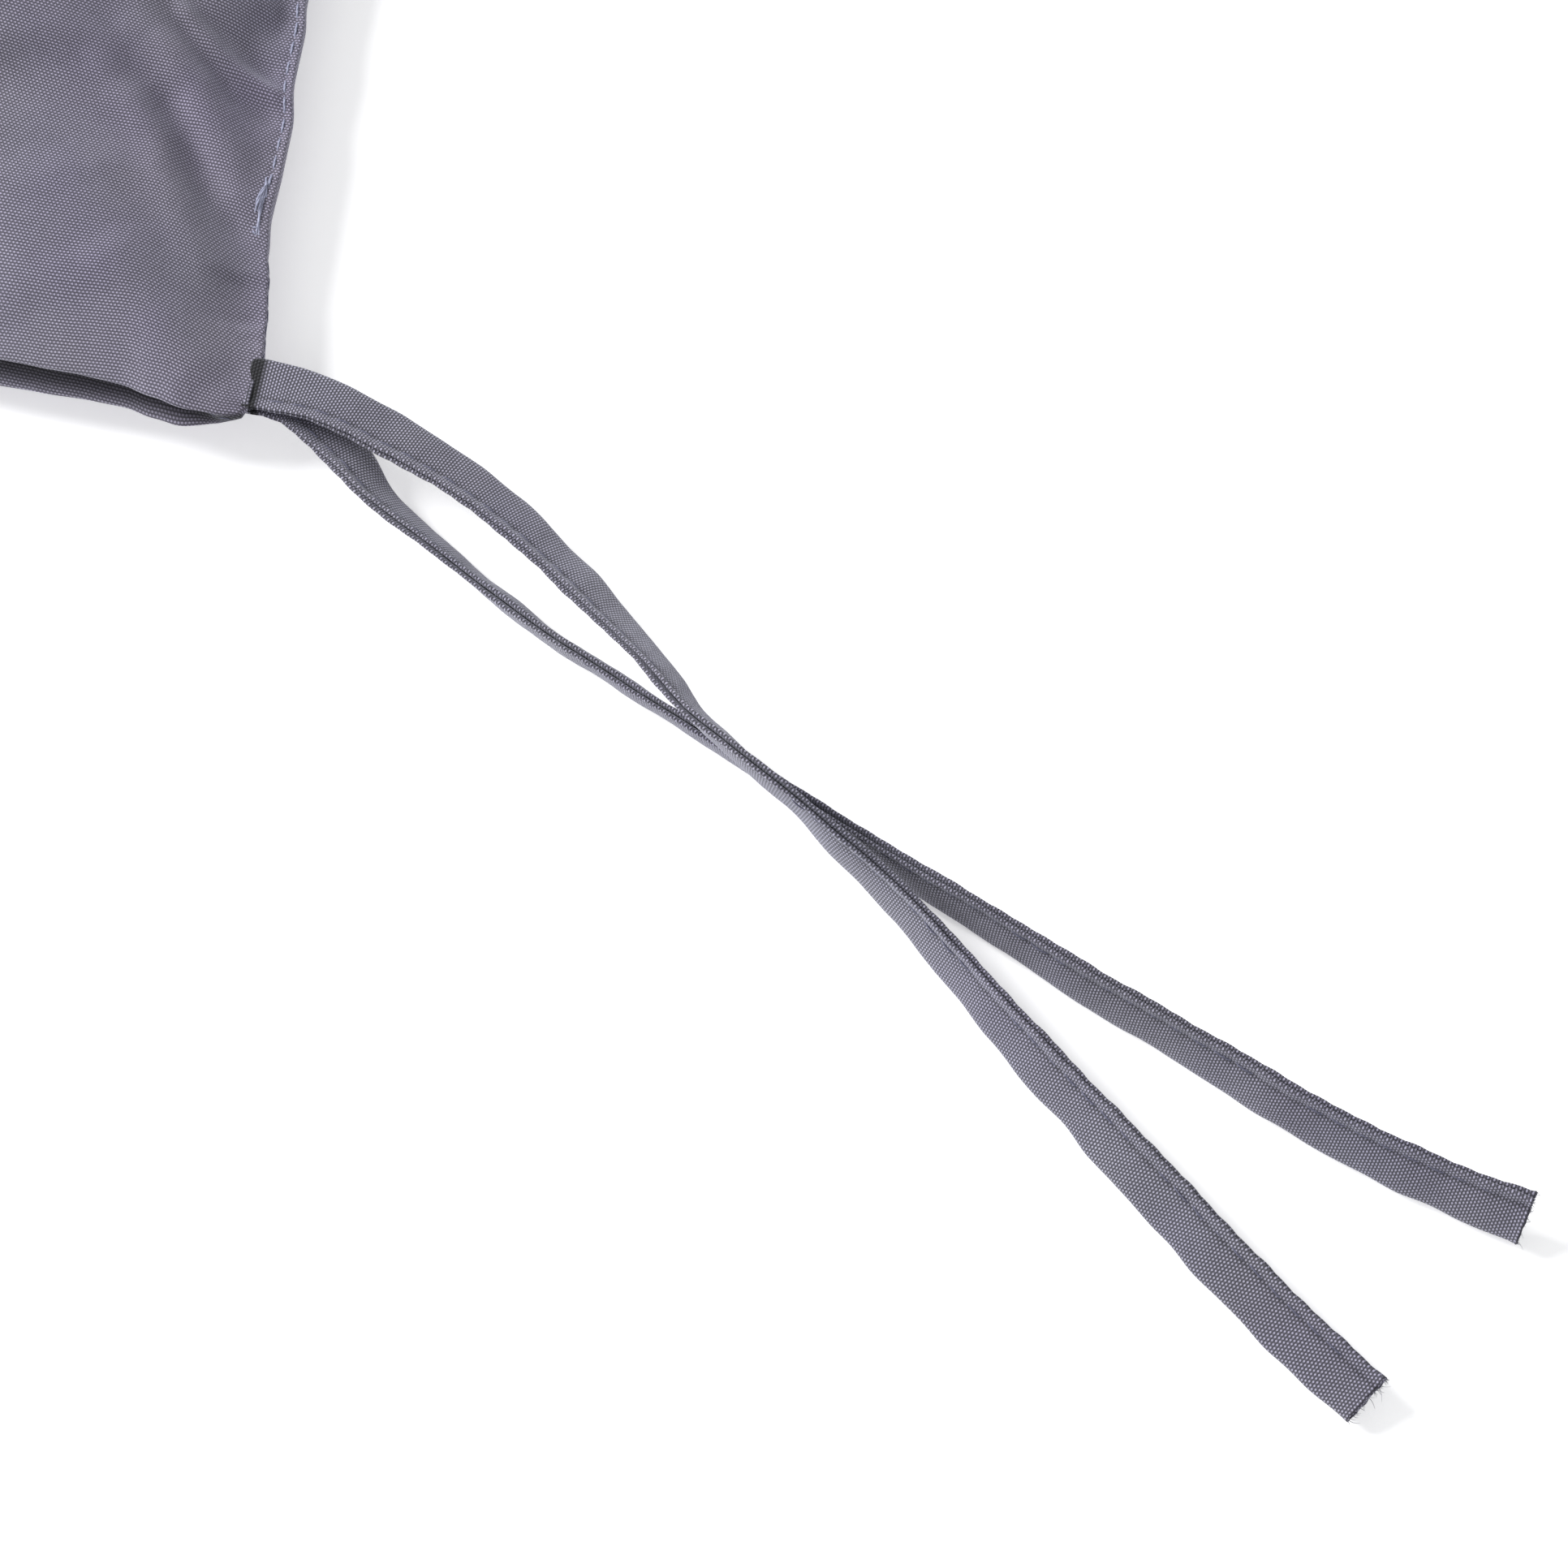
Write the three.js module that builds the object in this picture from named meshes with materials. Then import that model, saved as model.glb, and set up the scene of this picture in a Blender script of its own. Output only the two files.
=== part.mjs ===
// A square chair seat pad with a pair of folded fabric ties at each rear corner.
// Millimetres, +Z up, +Y towards the back of the chair. The origin is under the pad's centre.
import * as THREE from "three";

// The pad.
const PAD_WIDTH = 400;
const PAD_DEPTH = 400;
const PAD_HEIGHT = 42;
const SEAM_HEIGHT = 12;
const SIDE_PULL = 7.5;
const CLOTH = 0.5;
const ALLOWANCE = 10;
const LIP_WIDTH = 2.4;
const LIP_TAPER = 8;
const OPENING_LENGTH = 320;
const WADDING_SHEETS = 3;
const WADDING_INSET = 12;
const UNDERSIDE_ROUNDING = 0.6;

// The ties: one strip, folded across its middle, makes the two ties of a corner.
const TIE_WIDTH = 10;
const TIE_THICKNESS = 2.6;
const TIE_PLY = 1.2;
const TIE_FROM_CORNER = 9.5;
const TIE_SWELL_LENGTH = 22;
const FOLD_DEPTH = 9;
const TIE_STITCH_FROM_EDGE = 2;
const TIE_STITCH_FROM_END = 0.01;
const TIE_STEPS = 34;

// Threads and clearances.
const SEAM_THREAD = 0.5;
const TIE_THREAD = 0.4;
const SEAM_STITCH_FROM_EDGE = 1.5;
const CLEARANCE = 0.3;
const OVERHANG = 0.4;

const halfWidth = PAD_WIDTH / 2;
const halfDepth = PAD_DEPTH / 2;
const seamGap = SEAM_THREAD / 2 + CLEARANCE;
const foldHalfHeight = seamGap + TIE_PLY;
const foldGap = foldHalfHeight + CLEARANCE;
const tieX = halfWidth - TIE_FROM_CORNER;
const up = new THREE.Vector3(0, 0, 1);

// Routes of the free ties, from the seam to the cut end: x, y, z and roll in degrees.
// At roll 0 the stitched edge points to the right of the way the tie runs; at 90 it points up.
const ROUTES = {
  tie_right_upper: [
    [190.5, 200.2, 13.15, 0], [191, 207, 13.2, 9], [193, 216, 12.6, 17], [196.5, 225.5, 11.7, 22],
    [202, 239, 10.7, 30], [210, 252, 10.1, 38], [219.5, 264, 10.8, 46], [230, 276, 13.1, 56],
    [241.5, 287, 16.1, 68], [246.5, 294.5, 16.7, 74], [251, 302, 16.1, 78], [257.5, 313.5, 12.6, 86],
    [264, 324.5, 8.6, 97], [274.5, 338, 5.9, 107], [288.5, 354, 5.4, 119], [302, 370.5, 5, 132],
    [315, 386.5, 4.5, 142], [327.5, 402.5, 4.1, 149], [338.2, 418, 3.9, 154],
  ],
  tie_right_lower: [
    [190.5, 200.4, 10.85, 0], [192, 206.5, 9.6, 13], [198, 215, 7.2, 33], [205, 222.5, 6.4, 52],
    [213, 235, 5.7, 64], [221, 248.5, 5.5, 70], [228, 261.5, 5.4, 73], [234, 275, 5.4, 72],
    [239, 286, 5.4, 72], [246.5, 302, 5.4, 75], [256, 320.5, 5.5, 86], [267, 345, 5.5, 96],
    [273, 358, 5.5, 100], [281, 377, 5.5, 105], [286.5, 390, 5.5, 110], [292, 403, 5.4, 113],
    [296.5, 416, 5.3, 117], [300, 428.5, 5.3, 121], [302.6, 440, 5.2, 125],
  ],
  tie_left_upper: [
    [-190.5, 200.2, 13.15, 180], [-190, 209, 12.9, 172], [-190.5, 224, 11.3, 158],
    [-193.5, 243, 8.4, 140], [-200, 262, 6.4, 122], [-210, 281, 5.6, 104], [-223, 300, 5.5, 88],
    [-238, 318, 5.5, 72], [-254.5, 336, 5.4, 58], [-272, 354, 4.9, 44], [-290, 372.5, 4.2, 32],
    [-310, 393, 3.6, 24], [-322, 405, 3.3, 20], [-332.8, 416.3, 3.2, 17],
  ],
  tie_left_lower: [
    [-190.5, 200.4, 10.85, 180], [-192, 206.5, 9.6, 167], [-198.5, 215.5, 7.2, 147],
    [-208.5, 225, 6.3, 128], [-222, 236.5, 5.8, 112], [-238.5, 247, 5.6, 100], [-257, 256.5, 5.5, 92],
    [-277, 265.5, 5.5, 84], [-298, 275, 5.5, 76], [-319, 286, 5.4, 66], [-339, 298.5, 5.1, 56],
    [-358.5, 311.5, 4.7, 46], [-373.5, 322.5, 4.3, 38], [-384, 330.5, 4.1, 33],
    [-398, 340.5, 3.9, 29], [-408, 347.8, 3.7, 25],
  ],
};

const lavender = 0x7b7a8c;
const cloth = () => new THREE.MeshStandardMaterial({ color: lavender, roughness: 0.9, metalness: 0 });
const wadding = () => new THREE.MeshStandardMaterial({ color: 0xecebe6, roughness: 1, metalness: 0 });
const thread = () => new THREE.MeshStandardMaterial({ color: 0x8d90a0, roughness: 0.6, metalness: 0 });

const group = new THREE.Group();

function add(name, geometry, material) {
  const mesh = new THREE.Mesh(geometry, material);
  mesh.name = name;
  group.add(mesh);
  return mesh;
}

const clamp01 = (value) => Math.min(1, Math.max(0, value));

// A curve that is 1 across the middle of the pad and falls to 0 at its edge, steeply.
const dome = (share) => Math.sqrt(Math.max(0, 1 - share ** 4));

// The part of the seam height that the rounded underside still stands above the seat.
const lift = (rise) => (1 - Math.min(1, rise / UNDERSIDE_ROUNDING)) ** 1.5;

// Points around a unit square, at given distances from each corner and then evenly to mid-side.
function squarePoints(distancesFromCorner, evenSteps) {
  const side = (half) => {
    const last = distancesFromCorner.at(-1);
    const even = Array.from({ length: evenSteps }, (_, i) => last + ((half - last) * (i + 1)) / evenSteps);
    const rising = [...distancesFromCorner, ...even].map((distance) => distance / half - 1);
    return [...rising, ...rising.slice(1, -1).reverse().map((share) => -share)];
  };
  const across = side(halfWidth);
  const along = side(halfDepth);
  return [
    ...across.map((share) => [share, -1]),
    ...along.map((share) => [1, share]),
    ...across.map((share) => [-share, 1]),
    ...along.map((share) => [-1, -share]),
  ];
}

// The slit that a folded tie passes through ends a little beyond the tie on both sides.
const slitHalf = TIE_WIDTH / 2 + 2 * CLEARANCE;
const slitTaper = 2.5;
const openingEnd = halfWidth - OPENING_LENGTH / 2;
const fineSquare = squarePoints(
  [
    0,
    TIE_FROM_CORNER - slitHalf - slitTaper,
    TIE_FROM_CORNER - slitHalf,
    TIE_FROM_CORNER + slitHalf,
    TIE_FROM_CORNER + slitHalf + slitTaper,
    openingEnd,
    openingEnd + LIP_TAPER,
  ],
  2,
);
const pointsPerSide = fineSquare.length / 4;
const coarseSquare = fineSquare.filter((_, i) => {
  const place = i % pointsPerSide;
  return place === 0 || (place >= 4 && place <= pointsPerSide - 4);
});

// Shares of the way out from the pad's centre at which the wadding and the skin round it bend.
const waddingShares = [0.2, 0.45, 0.68, 0.84, 1 - WADDING_INSET / Math.min(halfWidth, halfDepth)];

// The flat lip along the closed opening at the rear, as a width at a place across the pad.
const lipAt = (x) => LIP_WIDTH * clamp01((OPENING_LENGTH / 2 - Math.abs(x)) / LIP_TAPER);

// A point on the pad's plan: the four sides are drawn in along their middles. An inset moves a
// point in from the edge, with the rear lip's width added where withLip is true.
function planPoint([u, v], inset, withLip) {
  const lip = withLip && v === 1 ? lipAt(u * halfWidth) : 0;
  const a = u * (1 - inset / halfWidth);
  const b = v * (1 - (inset + lip) / halfDepth);
  return [
    a * (halfWidth - SIDE_PULL * (1 - b * b)),
    b * (halfDepth - SIDE_PULL * (1 - a * a)),
  ];
}

// How far the two seam allowances part from the seam's plane, wider around each folded tie.
function partingAt(x, y, spread) {
  const beside = clamp01(1 - Math.max(0, Math.abs(Math.abs(x) - tieX) - slitHalf) / spread);
  const behind = clamp01(1 - Math.max(0, halfDepth - FOLD_DEPTH - 2 - y) / 20);
  return seamGap + (foldGap - seamGap) * beside * behind;
}

const distance = (p, q) => Math.hypot(p[0] - q[0], p[1] - q[1], p[2] - q[2]);

// A closed body from a list of rings with the same number of points, with a fan at each end.
// Each four-sided face is split along its shorter diagonal.
function loft(rings) {
  const count = rings[0].length;
  const positions = rings.flat(2);
  const centre = (ring) => [0, 1, 2].map((axis) => ring.reduce((sum, p) => sum + p[axis], 0) / count);
  const first = rings.length * count;
  const last = first + 1;
  positions.push(...centre(rings[0]), ...centre(rings.at(-1)));
  const index = [];
  for (let row = 0; row + 1 < rings.length; row += 1) {
    for (let i = 0; i < count; i += 1) {
      const next = (i + 1) % count;
      const [a, b] = [row * count + i, row * count + next];
      const [c, d] = [a + count, b + count];
      const rising = distance(rings[row][i], rings[row + 1][next]);
      const falling = distance(rings[row][next], rings[row + 1][i]);
      index.push(...(rising < falling ? [a, d, b, a, c, d] : [a, c, b, b, c, d]));
    }
  }
  for (let i = 0; i < count; i += 1) {
    const next = (i + 1) % count;
    index.push(first, i, next, last, first - count + next, first - count + i);
  }
  const geometry = new THREE.BufferGeometry();
  geometry.setAttribute("position", new THREE.Float32BufferAttribute(positions, 3));
  geometry.setIndex(index);
  geometry.computeVertexNormals();
  return geometry;
}

// One face of the cover: the outer skin from its centre to the edge, the allowance turned in
// under it, and back along the inner skin. side is 1 for the top face and -1 for the underside.
function coverPanel(side) {
  const outerShares = [0.12, 0.34, 0.55, 0.72, 0.84, 0.92, 0.965, 0.99];
  const innerShares = [0.98, ...waddingShares.toReversed()];
  const ring = (inset, withLip, spread, heightAt, share = 1) =>
    fineSquare.map(([u, v]) => {
      const [x, y] = planPoint([u, v], inset, withLip).map((value) => value * share);
      const rise = dome(u * share) * dome(v * share);
      return [x, y, heightAt(SEAM_HEIGHT + side * partingAt(x, y, spread), rise)];
    });
  const skin = (layers, farFace) => (seam, rise) =>
    side > 0
      ? seam + layers * CLOTH + (PAD_HEIGHT - farFace - seam - layers * CLOTH) * rise
      : farFace + (seam - layers * CLOTH - farFace) * lift(rise);
  const turnedIn = (layers) => (seam) => seam + side * layers * CLOTH;
  const wide = 30;
  const narrow = slitTaper;
  const rings = [
    ...outerShares.map((share) => ring(OVERHANG, true, wide, skin(2, 0), share)),
    ring(OVERHANG, true, narrow, turnedIn(2)),
    ring(0, false, narrow, turnedIn(1)),
    ring(0, false, narrow, turnedIn(0)),
    ring(2, false, wide, turnedIn(0)),
    ring(ALLOWANCE, false, wide, turnedIn(0)),
    ring(ALLOWANCE, false, wide, turnedIn(1)),
    ring(4, false, wide, turnedIn(1)),
    ring(2 * OVERHANG, true, wide, turnedIn(1)),
    ...innerShares.map((share) => ring(2 * OVERHANG, true, wide, skin(1, CLOTH), share)),
  ];
  return loft(side > 0 ? rings : rings.reverse());
}

// One of the sheets of wadding that fill the cover, counted up from the underside.
function waddingSheet(number) {
  const faceRing = (share, layer, offset) =>
    coarseSquare.map(([u, v]) => {
      const [x, y] = planPoint([u, v], 2 * OVERHANG, true).map((value) => value * share);
      const rise = dome(u * share) * dome(v * share);
      const seamTop = SEAM_HEIGHT + seamGap + CLOTH;
      const seamBottom = SEAM_HEIGHT - seamGap - CLOTH;
      const high = seamTop + (PAD_HEIGHT - CLOTH - seamTop) * rise - CLEARANCE;
      const low = CLOTH + (seamBottom - CLOTH) * lift(rise) + CLEARANCE;
      const sheet = (high - low - CLEARANCE * (WADDING_SHEETS - 1)) / WADDING_SHEETS;
      return [x, y, low + layer * sheet + (layer - offset) * CLEARANCE];
    });
  return loft([
    ...waddingShares.map((share) => faceRing(share, number + 1, 1)),
    ...waddingShares.toReversed().map((share) => faceRing(share, number, 0)),
  ]);
}

// Bends a straight extrusion of a section, one unit long, so that it follows placeAt(share),
// which gives a point, the directions of the section's x and y, and a scale for y.
function sweep(points, steps, placeAt) {
  const section = new THREE.Shape(points.map(([x, y]) => new THREE.Vector2(x, y)));
  const geometry = new THREE.ExtrudeGeometry(section, { depth: 1, steps, bevelEnabled: false });
  const position = geometry.getAttribute("position");
  for (let i = 0; i < position.count; i += 1) {
    const { origin, xAxis, yAxis, thickness } = placeAt(position.getZ(i));
    const point = origin.clone();
    point.addScaledVector(xAxis, position.getX(i));
    point.addScaledVector(yAxis, position.getY(i) * thickness);
    position.setXYZ(i, point.x, point.y, point.z);
  }
  geometry.computeVertexNormals();
  return geometry;
}

// A round section as a polygon, for threads.
function roundSection(diameter, sides, centreX = 0, centreY = 0) {
  return Array.from({ length: sides }, (_, i) => {
    const angle = ((i + 0.5) * 2 * Math.PI) / sides;
    return [centreX + (diameter / 2) * Math.cos(angle), centreY + (diameter / 2) * Math.sin(angle)];
  });
}

// A thread laid level along a list of plan points.
function levelThread(plan, z) {
  const steps = plan.length - 1;
  return sweep(roundSection(SEAM_THREAD, 4), steps, (share) => {
    const i = Math.round(share * steps);
    const from = plan[Math.max(0, i - 1)];
    const to = plan[Math.min(steps, i + 1)];
    const along = new THREE.Vector3(to[0] - from[0], to[1] - from[1], 0).normalize();
    const origin = new THREE.Vector3(...plan[i], z);
    return { origin, xAxis: new THREE.Vector3().crossVectors(up, along), yAxis: up, thickness: 1 };
  });
}

// The seam's thread runs between the two allowances, from one end of the opening to the other.
function seamThread() {
  const plan = fineSquare.filter(([u, v]) => v < 1 || Math.abs(u) * halfWidth > OPENING_LENGTH / 2);
  const start = plan.findIndex(([u, v]) => v === 1 && u < 0);
  const inOrder = [...plan.slice(start), ...plan.slice(0, start)];
  return levelThread(inOrder.map((point) => planPoint(point, SEAM_STITCH_FROM_EDGE, false)), SEAM_HEIGHT);
}

// A thread of the row that closes the opening: side is 1 for the one on top of the lip.
function closingThread(side) {
  const steps = 14;
  const plan = Array.from({ length: steps + 1 }, (_, i) => {
    const u = ((i / steps) * 2 - 1) * ((OPENING_LENGTH / 2 - LIP_TAPER) / halfWidth);
    return planPoint([u, 1], SEAM_STITCH_FROM_EDGE, false);
  });
  const lipFace = seamGap + 2 * CLOTH;
  return levelThread(plan, SEAM_HEIGHT + side * (lipFace + CLEARANCE + SEAM_THREAD / 2));
}

// The middle of a corner's tie strip, folded across and caught in the seam. side is 1 on the right.
function tieFold(side) {
  const edge = planPoint([tieX / halfWidth, 1], 0, false)[1] - 0.2;
  const bend = edge - FOLD_DEPTH + foldHalfHeight;
  const profile = new THREE.Shape();
  profile.moveTo(edge, foldHalfHeight);
  profile.lineTo(bend, foldHalfHeight);
  profile.absarc(bend, 0, foldHalfHeight, Math.PI / 2, (3 * Math.PI) / 2, false);
  profile.lineTo(edge, -foldHalfHeight);
  profile.lineTo(edge, -seamGap);
  profile.lineTo(bend, -seamGap);
  profile.absarc(bend, 0, seamGap, (3 * Math.PI) / 2, Math.PI / 2, true);
  profile.lineTo(edge, seamGap);
  profile.closePath();
  const geometry = new THREE.ExtrudeGeometry(profile, {
    depth: TIE_WIDTH,
    steps: 1,
    bevelEnabled: false,
    curveSegments: 8,
  });
  const turn = new THREE.Matrix4().makeBasis(new THREE.Vector3(0, 1, 0), up, new THREE.Vector3(1, 0, 0));
  geometry.applyMatrix4(turn);
  geometry.translate(side * tieX - TIE_WIDTH / 2, 0, SEAM_HEIGHT);
  return geometry;
}

// Where a tie's section lies at a share of its length: x runs from the stitched edge to the fold.
function tiePlacer(route) {
  const curve = new THREE.CatmullRomCurve3(route.map(([x, y, z]) => new THREE.Vector3(x, y, z)));
  const length = curve.getLength();
  return (share) => {
    const origin = curve.getPointAt(share);
    const along = curve.getTangentAt(share);
    const left = new THREE.Vector3().crossVectors(up, along).normalize();
    const above = new THREE.Vector3().crossVectors(along, left);
    const knot = curve.getUtoTmapping(share) * (route.length - 1);
    const from = Math.min(Math.floor(knot), route.length - 2);
    const roll = THREE.MathUtils.degToRad(
      THREE.MathUtils.lerp(route[from][3], route[from + 1][3], knot - from),
    );
    const xAxis = left.clone().multiplyScalar(Math.cos(roll)).addScaledVector(above, -Math.sin(roll));
    const yAxis = above.clone().multiplyScalar(Math.cos(roll)).addScaledVector(left, Math.sin(roll));
    const swollen = THREE.MathUtils.smoothstep(share * length, 0, TIE_SWELL_LENGTH);
    const thickness = THREE.MathUtils.lerp(TIE_PLY / TIE_THICKNESS, 1, swollen);
    return { origin, xAxis, yAxis, thickness };
  };
}

// The free part of a tie: a flat strip with rounded edges.
function tieStrip(route) {
  const [x, y] = [TIE_WIDTH / 2, TIE_THICKNESS / 2];
  const [narrow, thin] = [x - 1.1, y * 0.35];
  const section = [
    [x, thin], [narrow, y], [-narrow, y], [-x, thin], [-x, -thin], [-narrow, -y], [narrow, -y], [x, -thin],
  ];
  return sweep(section, TIE_STEPS, tiePlacer(route));
}

// The row of stitches along a tie's edge, which starts and stops just short of the tie's ends.
// side is 1 for the needle's thread and -1 for the bobbin's.
function tieThread(route, side) {
  const place = tiePlacer(route);
  const x = TIE_STITCH_FROM_EDGE - TIE_WIDTH / 2;
  const aboveFace = side * (CLEARANCE + TIE_THREAD / 2);
  return sweep(roundSection(TIE_THREAD, 4, x, aboveFace), TIE_STEPS, (share) => {
    const reach = TIE_STITCH_FROM_END + share * (1 - 2 * TIE_STITCH_FROM_END);
    const { origin, xAxis, yAxis, thickness } = place(reach);
    const face = (side * thickness * TIE_THICKNESS) / 2;
    return { origin: origin.clone().addScaledVector(yAxis, face), xAxis, yAxis, thickness: 1 };
  });
}

add("top_panel", coverPanel(1), cloth());
add("bottom_panel", coverPanel(-1), cloth());
for (let number = 0; number < WADDING_SHEETS; number += 1) {
  add(`wadding_${number + 1}`, waddingSheet(number), wadding());
}
add("seam_thread", seamThread(), thread());
add("closing_needle_thread", closingThread(1), thread());
add("closing_bobbin_thread", closingThread(-1), thread());
add("tie_fold_right", tieFold(1), cloth());
add("tie_fold_left", tieFold(-1), cloth());
for (const [name, route] of Object.entries(ROUTES)) {
  add(name, tieStrip(route), cloth());
  add(`${name}_needle_thread`, tieThread(route, 1), thread());
  add(`${name}_bobbin_thread`, tieThread(route, -1), thread());
}

export default group;
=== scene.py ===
"""A square chair seat pad in lavender-grey cloth, with a pair of folded ties at each rear corner.

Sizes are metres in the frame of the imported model: +Z up, +Y towards the back of the chair, the
origin under the middle of the pad. The pad's own plan and section are worked out in millimetres and
brought to metres when the piece is made.
"""

import math

import bpy
import numpy as np
from bpy.props import FloatProperty, FloatVectorProperty, PointerProperty
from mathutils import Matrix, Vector


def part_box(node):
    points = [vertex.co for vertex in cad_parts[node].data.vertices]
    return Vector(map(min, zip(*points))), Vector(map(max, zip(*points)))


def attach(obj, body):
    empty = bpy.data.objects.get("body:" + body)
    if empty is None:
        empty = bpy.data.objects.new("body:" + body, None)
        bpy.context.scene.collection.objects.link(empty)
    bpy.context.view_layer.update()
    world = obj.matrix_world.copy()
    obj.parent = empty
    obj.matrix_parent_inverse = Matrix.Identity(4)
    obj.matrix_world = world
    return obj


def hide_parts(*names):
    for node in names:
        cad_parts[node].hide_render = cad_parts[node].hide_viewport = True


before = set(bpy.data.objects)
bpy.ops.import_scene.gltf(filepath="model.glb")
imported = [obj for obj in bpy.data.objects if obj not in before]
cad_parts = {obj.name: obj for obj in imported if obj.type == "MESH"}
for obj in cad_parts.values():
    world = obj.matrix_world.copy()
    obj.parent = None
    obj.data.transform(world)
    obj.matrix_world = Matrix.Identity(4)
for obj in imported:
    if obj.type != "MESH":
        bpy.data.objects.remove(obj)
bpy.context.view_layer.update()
PAD_LOW, PAD_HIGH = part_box("top_panel")
TIE_FOLD_LOW, TIE_FOLD_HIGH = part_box("tie_fold_right")
# Half of the pad's plan, and the middle of the right corner's ties, in mm.
HALF = round(1000 * PAD_HIGH.x)
TIE_X = 500 * (TIE_FOLD_LOW.x + TIE_FOLD_HIGH.x)

bl_info = {
    "name": "Chair seat pad",
    "version": (1, 0, 0),
    "blender": (4, 5, 0),
    "location": "3D View > Sidebar > Seat Pad",
    "description": "Builds a padded seat cushion with folded cloth ties",
    "category": "Add Mesh",
}

# The lie of each free tie, from the seam to its cut end: x, y, z in metres and roll in degrees.
# At roll 0 the stitched edge points to the right of the way the tie runs; at 90 it points up.
TIE_ROUTES = {
    "tie_right_upper": [
        (0.1905, 0.2002, 0.01315, 0), (0.191, 0.207, 0.0132, 9), (0.193, 0.216, 0.0126, 17),
        (0.1965, 0.2255, 0.0117, 22), (0.202, 0.239, 0.0107, 30), (0.21, 0.252, 0.0101, 38),
        (0.2195, 0.264, 0.0108, 46), (0.23, 0.276, 0.0131, 56), (0.2415, 0.287, 0.0161, 68),
        (0.2465, 0.2945, 0.0167, 74), (0.251, 0.302, 0.0161, 78), (0.2575, 0.3135, 0.0126, 86),
        (0.264, 0.3245, 0.0086, 97), (0.2745, 0.338, 0.0059, 107), (0.2885, 0.354, 0.0054, 119),
        (0.302, 0.3705, 0.005, 132), (0.315, 0.3865, 0.0045, 142), (0.3275, 0.4025, 0.0041, 149),
        (0.3382, 0.418, 0.0039, 154),
    ],
    "tie_right_lower": [
        (0.1905, 0.2004, 0.01085, 0), (0.192, 0.2065, 0.0096, 13), (0.198, 0.215, 0.0072, 33),
        (0.205, 0.2225, 0.0064, 52), (0.213, 0.235, 0.0057, 64), (0.221, 0.2485, 0.0055, 70),
        (0.228, 0.2615, 0.0054, 73), (0.234, 0.275, 0.0054, 72), (0.239, 0.286, 0.0054, 72),
        (0.2465, 0.302, 0.0054, 75), (0.256, 0.3205, 0.0055, 86), (0.267, 0.345, 0.0055, 96),
        (0.273, 0.358, 0.0055, 100), (0.281, 0.377, 0.0055, 105), (0.2865, 0.39, 0.0055, 110),
        (0.292, 0.403, 0.0054, 113), (0.2965, 0.416, 0.0053, 117), (0.3, 0.4285, 0.0053, 121),
        (0.3026, 0.44, 0.0052, 125),
    ],
    "tie_left_upper": [
        (-0.1905, 0.2002, 0.01315, 180), (-0.19, 0.209, 0.0129, 172), (-0.1905, 0.224, 0.0113, 158),
        (-0.1935, 0.243, 0.0084, 140), (-0.2, 0.262, 0.0064, 122), (-0.21, 0.281, 0.0056, 104),
        (-0.223, 0.3, 0.0055, 88), (-0.238, 0.318, 0.0055, 72), (-0.2545, 0.336, 0.0054, 58),
        (-0.272, 0.354, 0.0049, 44), (-0.29, 0.3725, 0.0042, 32), (-0.31, 0.393, 0.0036, 24),
        (-0.322, 0.405, 0.0033, 20), (-0.3328, 0.4163, 0.0032, 17),
    ],
    "tie_left_lower": [
        (-0.1905, 0.2004, 0.01085, 180), (-0.192, 0.2065, 0.0096, 167), (-0.1985, 0.2155, 0.0072, 147),
        (-0.2085, 0.225, 0.0063, 128), (-0.222, 0.2365, 0.0058, 112), (-0.2385, 0.247, 0.0056, 100),
        (-0.257, 0.2565, 0.0055, 92), (-0.277, 0.2655, 0.0055, 84), (-0.298, 0.275, 0.0055, 76),
        (-0.319, 0.286, 0.0054, 66), (-0.339, 0.2985, 0.0051, 56), (-0.3585, 0.3115, 0.0047, 46),
        (-0.3735, 0.3225, 0.0043, 38), (-0.384, 0.3305, 0.0041, 33), (-0.398, 0.3405, 0.0039, 29),
        (-0.408, 0.3478, 0.0037, 25),
    ],
}

# How far each side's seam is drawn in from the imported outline, as (place along it, draw-in) in mm.
REAR_DRAW = [
    (-200, 1.8), (-185, 0.5), (-172, 2.0), (-158, 3.4), (-130, 4.4), (-95, 4.0), (-60, 5.0), (-20, 4.4),
    (20, 5.1), (60, 4.5), (95, 5.2), (110, 5.3), (117, 4.5), (127, 4.6), (137, 3.3), (146, 3.4),
    (157, 3.8), (164, 3.2), (171, 2.0), (179, 1.1), (186, 0.5), (191, 0.9), (196, 1.7), (200, 2.0),
]
SIDE_DRAW = [
    (-200, 0.6), (-186, 0.4), (-170, 1.8), (-130, 2.8), (-90, 2.0), (-40, 3.1), (10, 2.2), (60, 2.9),
    (110, 1.7), (151, 1.4), (160, 1.7), (170, 2.2), (176, 2.2), (182, 1.2), (188, 0.5), (194, 0.5),
    (200, 1.6),
]
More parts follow.
